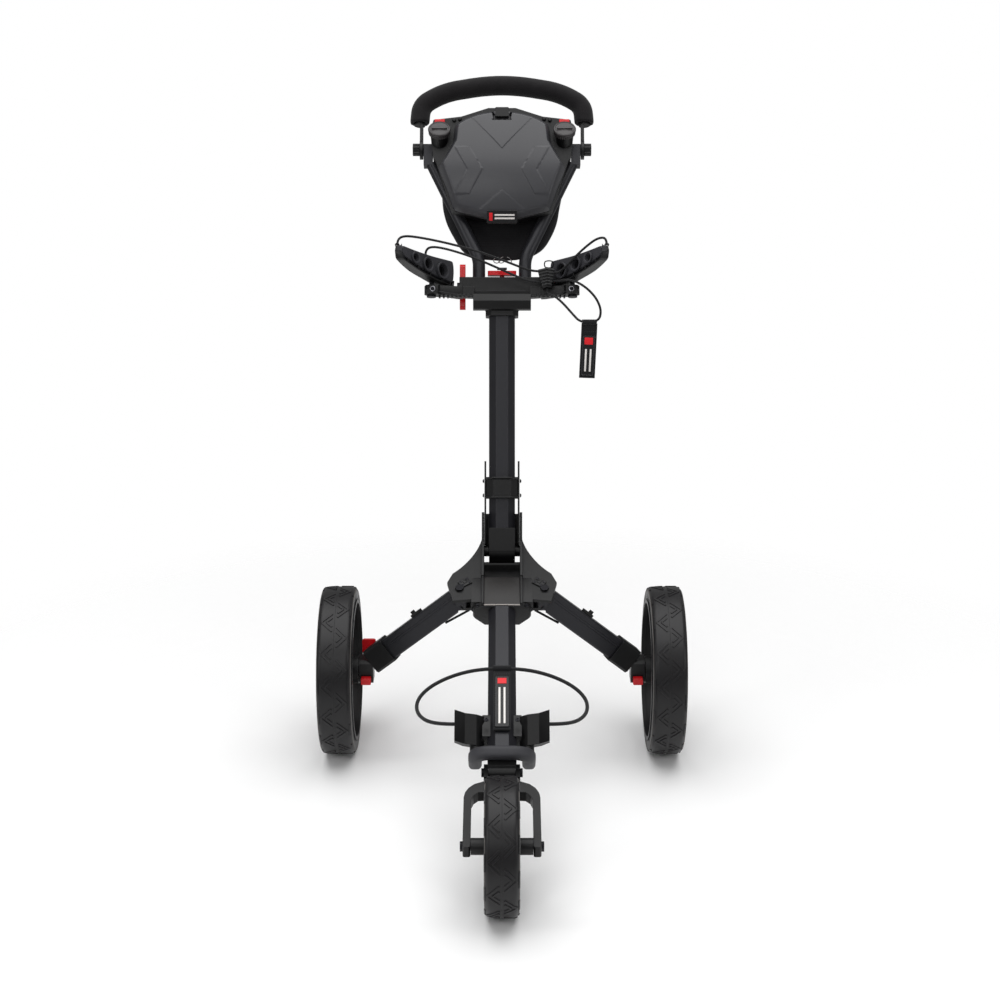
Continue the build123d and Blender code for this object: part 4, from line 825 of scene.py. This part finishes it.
# ---- Cord buckle: two ribbed nylon blocks clipped on the cords, one tipped each way, with a wire loop.
# It is not fastened to the band; the cords hold it.
CLIP = CRADLE @ Matrix.Translation((0.078, 0.040, 0.021))
parts = []
for turn, shift, size in ((-14, -0.0045, 0.0080), (10, 0.0040, 0.0058)):
    tip = Matrix.Rotation(math.radians(turn), 4, "Y") @ Matrix.Translation((shift, 0, 0))
    shapes = [block(-size, size, -0.0068, 0.0068, -0.0170, 0.0165)]
    for level in range(6):
        height = -0.0135 + 0.0052 * level
        shapes.append(block(-size - 0.0009, size + 0.0009, 0.0062, 0.0086, height, height + 0.0022))
    parts += [([tip @ Vector(p) for p in points], faces) for points, faces in shapes]
rings = []
for k in range(40):
    a = 2 * math.pi * k / 40
    square = max(abs(math.cos(a)), abs(math.sin(a)))
    reach = (0.0078 / square * 0.35 + 0.0078 * 0.65, 0.0062 / square * 0.35 + 0.0062 * 0.65)
    middle = Vector((0.003 + reach[0] * math.cos(a), 0.001, 0.0235 + reach[1] * math.sin(a)))
    out = Vector((math.cos(a), 0, math.sin(a)))
    rings.append([middle + out * 0.0011 * math.cos(b) + Vector((0, 0.0011 * math.sin(b), 0))
                  for b in [math.pi * m / 4 for m in range(8)]])
parts.append(loft(rings, closed=True))
part("ribbed_cord_buckle", parts, CLIP, nylon, "upper_frame", 0.0006, ["cord_buckle"])

# ---- Console lid: one domed shell, injection moulded in dark grey ABS with a fine dotted texture.
# Shallow facets are raised on it; it is hinged at the foot and clips shut at the top.
lid_plastic = worn_and_highlit_coat("charcoal_satin_abs", "#2b2829", "#4a4647", 0.38, 1.6, 0.00008, mottle=0.12, gloss=0.45)
finish_nodes(lid_plastic, "console_lid", "accessory_cap_left", "accessory_cap_right")
lid_skin, tree = blank_material("satin_dotted_abs")
place = add(tree, "ShaderNodeTexCoord").outputs["Object"]
# Moulded dots are about 1.2 mm apart.
dots = add(tree, "ShaderNodeTexVoronoi", {"Vector": place, "Scale": 800.0, "Randomness": 0.15})
drift = add(tree, "ShaderNodeTexNoise", {"Vector": place, "Scale": 9.0, "Detail": 3.0})
textured(tree, drift.outputs["Fac"], dots.outputs["Distance"], "#2e2e31", "#3a3a3e", 0.25, 0.0002, 0.36, 0.5)
HANDLE = over(0.3285, 0.745, 62.0)
LID_FOOT, LID_CREST, LID_STEPS = 31, 248, 84
LID_HALF = [(0, 151), (28, 152.5), (56, 159), (80, 165), (86, 172), (98, 206), (110, 238), (111, 246),
            (104, 258), (90, 284), (86.5, 292), (83.5, 318), (78, 327), (60, 337), (36, 345), (0, 351)]


def lid_height(x, t):
    """Height of the lid's surface above the handle's line."""
    if abs(x) < 15.4 and t > 325.5:
        return 33.2
    f = (t - 250) / (104 if t > 250 else 99)
    crest = 61.5 - (18.5 * f * f if f > 0 else 25 * f * f)
    raised = 0.9 if t > 270 + abs(x) * 1.15 or t < 196 - abs(x) * 0.8 else 0.0
    ring = 0.9 if 0 < (abs(x) - abs(t - 232) * 0.55 - 34) < 26 and abs(t - 232) < 42 else 0.0
    return crest + max(raised, ring) - 5.0 * (x / 111) ** 2


outline = [smooth_line(LID_HALF, k / 210) for k in range(211)]
outline += [(-x, t) for x, t in reversed(outline[1:-1])]
rings = [[(x * 0.975 / 1000, (LID_CREST + (t - LID_CREST) * 0.975) / 1000, 0.0305) for x, t in outline]]
for k in range(LID_STEPS):
    f = 1 - k / LID_STEPS
    wall = 1 - max(0.0, (f - 0.90) / 0.10) ** 2
    ring = []
    for x, t in outline:
        px, pt = x * f, LID_CREST + (t - LID_CREST) * f
        ring.append((px / 1000, pt / 1000, (LID_FOOT + (lid_height(px, pt) - LID_FOOT) * wall) / 1000))
    rings.append(ring)
piece("console_lid_shell", solid("console_lid_shell", *loft(rings), place=HANDLE, sharp=40), lid_skin,
      "console_lid", ["console_lid"])
hinge = [loft([[(x, 0.146 + 0.0039 * math.cos(a), 0.030 + 0.0039 * math.sin(a))
                for a in [2 * math.pi * k / 32 for k in range(32)]] for x in (-0.017, 0.017)]),
         block(-0.017, 0.017, 0.146, 0.156, 0.0305, 0.0338)]
part("lid_hinge_barrel", hinge, HANDLE, nylon, "console_lid", 0.0004)
plate_place = HANDLE @ Matrix.Translation((0, 0.1535, 0.0385)) @ Matrix.Rotation(math.radians(34), 4, "X")
plate = block(-0.0265, 0.0265, -0.0115, 0.0105, -0.002, 0.0024)
part("lid_plate", [plate], plate_place, badge, "console_lid", 0.0005)
red_block = block(-0.0225, -0.0165, -0.0075, 0.0065, 0.002, 0.0030)
part("lid_plate_red", [red_block], plate_place, red_paint, "console_lid", 0.0002)
bars = [block(-0.013, 0.022, y - 0.0015, y + 0.0015, 0.002, 0.0029) for y in (-0.0035, 0.0025)]
part("lid_plate_bars", bars, plate_place, white_paint, "console_lid", 0.0002)

# ---- Console trim: pairs of small bumps beside the lid, red tabs behind the caps and a grip bar on each cap.
# Bumps and bars are moulded with their parts; the tabs are separate and snap in.
seed = solid("bump", *loft([[(r * math.cos(math.pi * k / 12), r * math.sin(math.pi * k / 12), h)
                             for k in range(24)]
                            for r, h in ((0.0036, -0.004), (0.0036, 0.002), (0.0028, 0.0036),
                                         (0.0010, 0.0042))]))
for hand in (-1, 1):
    side_name = "left" if hand < 0 else "right"
    row = repeated(seed, 2, (hand * 0.010, -0.002, 0), nylon,
                   HANDLE @ Matrix.Translation((hand * 0.0745, 0.335, 0.0305)))
    piece("console_bumps_" + side_name, row, nylon, "handle")
    tab = block(hand * 0.110 - 0.009, hand * 0.110 + 0.009, 0.3275, 0.3335, 0.0285, 0.0345)
    part("console_red_tab_" + side_name, [tab], HANDLE, red_nylon, "handle", 0.0006)
    cap_place = Matrix.Translation((hand * 0.110, 0.43502, 1.03267)) @ Matrix.Rotation(math.radians(32), 4, "X")
    rings = []
    for r, h, teeth in ((0.0175, 0.0005, 1), (0.0192, 0.0015, 1), (0.0192, 0.0070, 1), (0.0198, 0.0075, 0),
                        (0.0200, 0.0100, 0), (0.0190, 0.0118, 0), (0.0172, 0.0124, 0), (0.0160, 0.0112, 0),
                        (0.0002, 0.0124, 0)):
        cut = [r - 0.0008 * teeth * (k % 6 < 3) for k in range(192)]
        rings.append([(wide * math.cos(math.pi * k / 96), wide * math.sin(math.pi * k / 96), h)
                      for k, wide in enumerate(cut)])
    bar = block(-0.0135, 0.0135, -0.0026, 0.0026, 0.0100, 0.0142)
    cap = "accessory_cap_" + side_name
    part("accessory_cap_disc_" + side_name, [loft(rings), bar], cap_place, lid_plastic, cap,
         0.0004, [cap])

# ---- Mesh pouch: black polyester mesh sewn into an open bag, hung on the back of the console tray.
# It sags a little, creased by its own weight, and has small grey cord loops at its foot.
mesh_cloth, tree = blank_material("black_polyester_mesh")
place = add(tree, "ShaderNodeTexCoord").outputs["Object"]
# Mesh holes are about 2 mm apart.
holes = add(tree, "ShaderNodeTexVoronoi", {"Vector": place, "Scale": 480.0, "Randomness": 0.2})
hole = holes.outputs["Distance"]
textured(tree, hole, hole, "#060607", "#1b1b1e", 0.8, 0.0005, 0.85, 0.2, 0.2)
POUCH_LINE = [(222, 108, -58), (205, 106, -57), (185, 103, -55), (160, 97, -51), (135, 86, -44), (112, 72, -34),
              (98, 54, -26), (93, 34, -21)]


def pouch_ring(level, inset):
    """Rounded ring of the bag at a share of its depth, with soft creases."""
    t, half, back = smooth_line(POUCH_LINE, level)
    ring = []
    for k in range(96):
        a = 2 * math.pi * k / 96
        c, s = math.cos(a), math.sin(a)
        x = half * math.copysign(abs(c) ** 0.55, c)
        h = (-13 + back) / 2 + (-13 - back) / 2 * math.copysign(abs(s) ** 0.55, s)
        crease = 1.6 * math.sin(5 * a + 7 * level) * math.sin(math.pi * min(1, level * 1.2)) * (s < 0.2)
        x, h = x * (1 - (inset + crease) / half), h - (inset + crease) * s
        ring.append((x / 1000, (t + 1.5 * math.sin(3 * a + 2) * level) / 1000, h / 1000))
    return ring


outer = [pouch_ring(k / 40, 0.0) for k in range(41)]
inner = [pouch_ring(k / 40, 0.9) for k in range(41)]


def gathered(ring, share, lift):
    """Ring drawn in toward its middle, to close the foot of the bag."""
    middle = sum((Vector(p) for p in ring), Vector()) / len(ring)
    return [middle + (Vector(p) - middle) * share + Vector((0, lift, 0)) for p in ring]


foot_out = [gathered(outer[-1], share, -0.004 * (1 - share)) for share in (0.75, 0.5, 0.25, 0.004)]
foot_in = [gathered(inner[-1], share, 0.0009 - 0.004 * (1 - share)) for share in (0.75, 0.5, 0.25, 0.004)]
bag = loft(outer + foot_out + foot_in[::-1] + inner[::-1], closed=True)
pouch_mesh = solid("mesh_pouch", *bag, place=HANDLE, sharp=60)
pouch = piece("mesh_pouch", pouch_mesh, mesh_cloth, "handle", ["pouch"])
grey_cord = worn_and_highlit_coat("light_grey_cord", "#8f8f8f", "#b8b8b8", 0.7, 0.4, 0.0001)
loops = []
for x, tilt in ((0.0, 0.4), (0.011, -0.5), (-0.009, 0.1)):
    rings = []
    for k in range(24):
        a = 2 * math.pi * k / 24
        middle = Vector((x + 0.0058 * math.cos(a), 0.0905 + 0.0044 * math.sin(a + tilt),
                         -0.0165 + 0.003 * math.sin(a)))
        rings.append([middle + Vector((math.cos(a), math.sin(a), 0)) * 0.0009 * math.cos(b)
                      + Vector((0, 0, 0.0009 * math.sin(b))) for b in [math.pi * m / 3 for m in range(6)]])
    loops.append(loft(rings, closed=True))
part("pouch_cord_loops", loops, HANDLE, grey_cord, "handle")

# ---- Hub: the nylon block round the top of the lower tube, six-sided in front, with a satin floor in it.
# The floor shows brown where the coat is thin, and its front edge is worn bright; raised pads carry the
# screws. The channel's back plate and the lips of the lock collar above it are moulded in the same nylon.
def bar_along(section, y0, y1, taper=1.0):
    """Bar with an (x, z) section from y0 to y1; the first end is scaled by taper."""
    return loft([[(x * f, y, z * f) for x, z in section]
                 for y, f in ((y0, taper), (y0 + 0.006, 1.0), (y1, 1.0))])


UPPER = over(0.1803, 0.355, 70.7)
hub_section = [(-0.031, 0.0215), (0.031, 0.0215), (0.049, 0.012), (0.049, -0.009), (0.031, -0.026),
               (-0.031, -0.026), (-0.049, -0.009), (-0.049, 0.012)]
parts = [bar_along(hub_section, 0.343, 0.411, 0.94)]
for hand in (-1, 1):
    parts.append(block(hand * 0.0325 - 0.0018, hand * 0.0325 + 0.0018, 0.345, 0.411, 0.015, 0.0262))
    parts.append(block(min(hand * 0.0335, hand * 0.052), max(hand * 0.0335, hand * 0.052), 0.353, 0.411, 0.010,
                       0.0202))
part("hub_shell", parts, LOWER, nylon, "frame", 0.0012, ["hub_block"])
floor_coat = worn_and_highlit_coat("thin_bronze_satin_coat", "#141110", "#3c3531", 0.34, 0.6, 0.00008, mottle=0.9)
floor_part = block(-0.0305, 0.0305, 0.3455, 0.4105, 0.020, 0.0222)
part("channel_floor", [floor_part], LOWER, floor_coat, "frame", 0.0003)
worn_edge = worn_and_highlit_coat("worn_bright_edge", "#b9b2ad", "#e4e0dc", 0.35, 0.8, 0.00004)
line = block(-0.0300, 0.0300, 0.3446, 0.3456, 0.0205, 0.0225)
part("channel_floor_edge", [line], LOWER, worn_edge, "frame")


def shoulder_grid(hand, height):
    """Matrix of the turned pad on one shoulder."""
    return Matrix.Translation((hand * 0.063, 0.399, height)) @ Matrix.Rotation(math.radians(-hand * 35), 4, "Z")


parts = []
for hand in (-1, 1):
    grid = shoulder_grid(hand, 0.0214)
    for points, faces in (block(-0.0100, 0.0100, -0.0075, 0.0075, -0.002, 0.0010),
                          block(-0.003, 0.003, -0.003, 0.003, 0, 0.0022)):
        parts.append(([grid @ Vector(p) for p in points], faces))
part("shoulder_pads", parts, LOWER, nylon, "frame", 0.0005)
back = block(-0.0309, 0.0309, -0.020, 0.055, -0.0265, -0.0248)
part("channel_back", [back], UPPER, nylon, "frame", 0.0004)


def eight_sided(half_x, half_z, cut, y):
    """Eight-sided ring of points at a place along the line."""
    return [(x, y, z) for x, z in ((half_x - cut, half_z), (half_x, half_z - cut), (half_x, cut - half_z),
                                   (half_x - cut, -half_z), (cut - half_x, -half_z), (-half_x, cut - half_z),
                                   (-half_x, half_z - cut), (cut - half_x, half_z))]


lips = []
for y, lean in ((0.0820, 0.0012), (0.1170, -0.0012)):
    lips.append(loft([eight_sided(half_x, half_x - 0.0015, cut, y + shift * lean)
                      for half_x, cut, shift in ((0.0285, 0.0115, -1), (0.0290, 0.0115, 1), (0.0262, 0.0108, 3),
                                                 (0.0250, 0.0108, 1))], closed=True))
part("lock_collar_lips", lips, UPPER, nylon, "lock_collar", 0.0004)

# ---- Front axle barrels: short cones moulded on the inside of the fork, one each side of the wheel.
# The axle runs through them, and their narrow ends face outwards.
barrels = [turned([(hand * 0.0285, 0.0042), (hand * 0.0285, 0.0115), (hand * 0.0310, 0.0120),
                   (hand * 0.0462, 0.0080), (hand * 0.0462, 0.0042)], (0, -0.43655, 0.10254), 48)
           for hand in (-1, 1)]
part("front_axle_barrels", barrels, None, nylon, "front_fork", 0.0005)

# ---- Screws: black socket-head screws in the castings, each set in a shallow round seat.
# They hold the shoulders and the hub block, the channel and the lock collar.
SCREWS, given = empty_tree("screws_at_points", (("Geometry", "Geometry"), ("Piece", "Object"),
                                                ("Finish", "Material")))
facing = add(SCREWS, "GeometryNodeInputNamedAttribute", {"Name": "facing"}, data_type="FLOAT_VECTOR")
size = add(SCREWS, "GeometryNodeInputNamedAttribute", {"Name": "size"}, data_type="FLOAT")
aim = add(SCREWS, "FunctionNodeAlignRotationToVector", {"Vector": facing.outputs[0]}, axis="Z")
copies_out(SCREWS, given, {"Points": given["Geometry"], "Rotation": aim.outputs[0], "Scale": size.outputs[0]})
head_rings = []
for r, h, sides in ((0.0050, -0.0010, 0), (0.0050, 0.0004, 0), (0.0042, 0.0012, 0), (0.0040, 0.0004, 0),
                    (0.0034, 0.0004, 0), (0.0034, 0.0022, 0), (0.0028, 0.0028, 0), (0.0018, 0.0028, 6),
                    (0.0017, 0.0008, 6), (0.0001, 0.0006, 6)):
    ring = []
    for k in range(36):
        a = 2 * math.pi * k / 36
        wide = r if not sides else r / math.cos((a % (math.pi / 3)) - math.pi / 6) * 0.88
        ring.append((wide * math.cos(a), wide * math.sin(a), h))
    head_rings.append(ring)
screw_head = solid("screw_head", *loft(head_rings), sharp=30)


def screws(name, body, places, grid):
    """Screws at (x, y, z, size) places on a layout line, facing its local Z unless a direction is given."""
    dots = bpy.data.meshes.new(name + "_points")
    dots.from_pydata([grid @ Vector(p[:3]) for p in places], [], [])
    dots.attributes.new("facing", "FLOAT_VECTOR", "POINT")
    dots.attributes.new("size", "FLOAT", "POINT")
    for i, p in enumerate(places):
        facing = grid.to_3x3() @ Vector(p[4] if len(p) > 4 else (0, 0, 1))
        dots.attributes["facing"].data[i].vector = facing.normalized()
        dots.attributes["size"].data[i].value = p[3]
    piece(name, grown(SCREWS, dots, screw_head, steel), steel, body)


for side_name, hand in (("left", -1), ("right", 1)):
    screws("shoulder_screws_" + side_name, "frame",
           [(x, y, 0.0006, 0.42) for x in (-0.0065, 0.0065) for y in (-0.0042, 0.0042)],
           LOWER @ shoulder_grid(hand, 0.0222))
screws("channel_bolts", "frame", [(hand * 0.0352, 0.0, 0.0, 1.1, (hand, 0, 0)) for hand in (-1, 1)],
       over(0.1775, 0.345, 70.7))
screws("collar_screws", "lock_collar", [(hand * x, y, 0.0, 0.7, (hand, 0, 0)) for hand in (-1, 1)
                                        for x, y in ((0.0318, 0.1115), (0.0318, 0.0865))], UPPER)
screws("hub_screws", "frame", [(hand * 0.041, 0.3475, 0.0178, 0.6, (0, -1, 0.6)) for hand in (-1, 1)]
       + [(hand * 0.0492, 0.356, -0.001, 0.8, (hand, -0.6, 0)) for hand in (-1, 1)], LOWER)

# ---- Handle latch pad: a thin pad of grey soft rubber glued on the end of the red latch, for the thumb.
# It is dull, with softly rounded edges.
latch_pad = block(-0.0085, 0.0085, 0.4790, 0.4816, 0.0085, 0.0235)
part("handle_latch_pad", [latch_pad], UPPER, pad_rubber, "handle_latch", 0.0006)

# ---- Head and bracket screws: the same black socket-head screws, one each side of the tube head.
# Two more hold the lower bracket down on the tube.
screws("head_screws", "upper_frame", [(hand * 0.0285, 0.412, 0.004, 0.9, (hand, 0, 0)) for hand in (-1, 1)],
       UPPER)
screws("bracket_screws", "frame", [(hand * 0.0245, 0.084, 0.0281, 0.8) for hand in (-1, 1)], LOWER)

low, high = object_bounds()
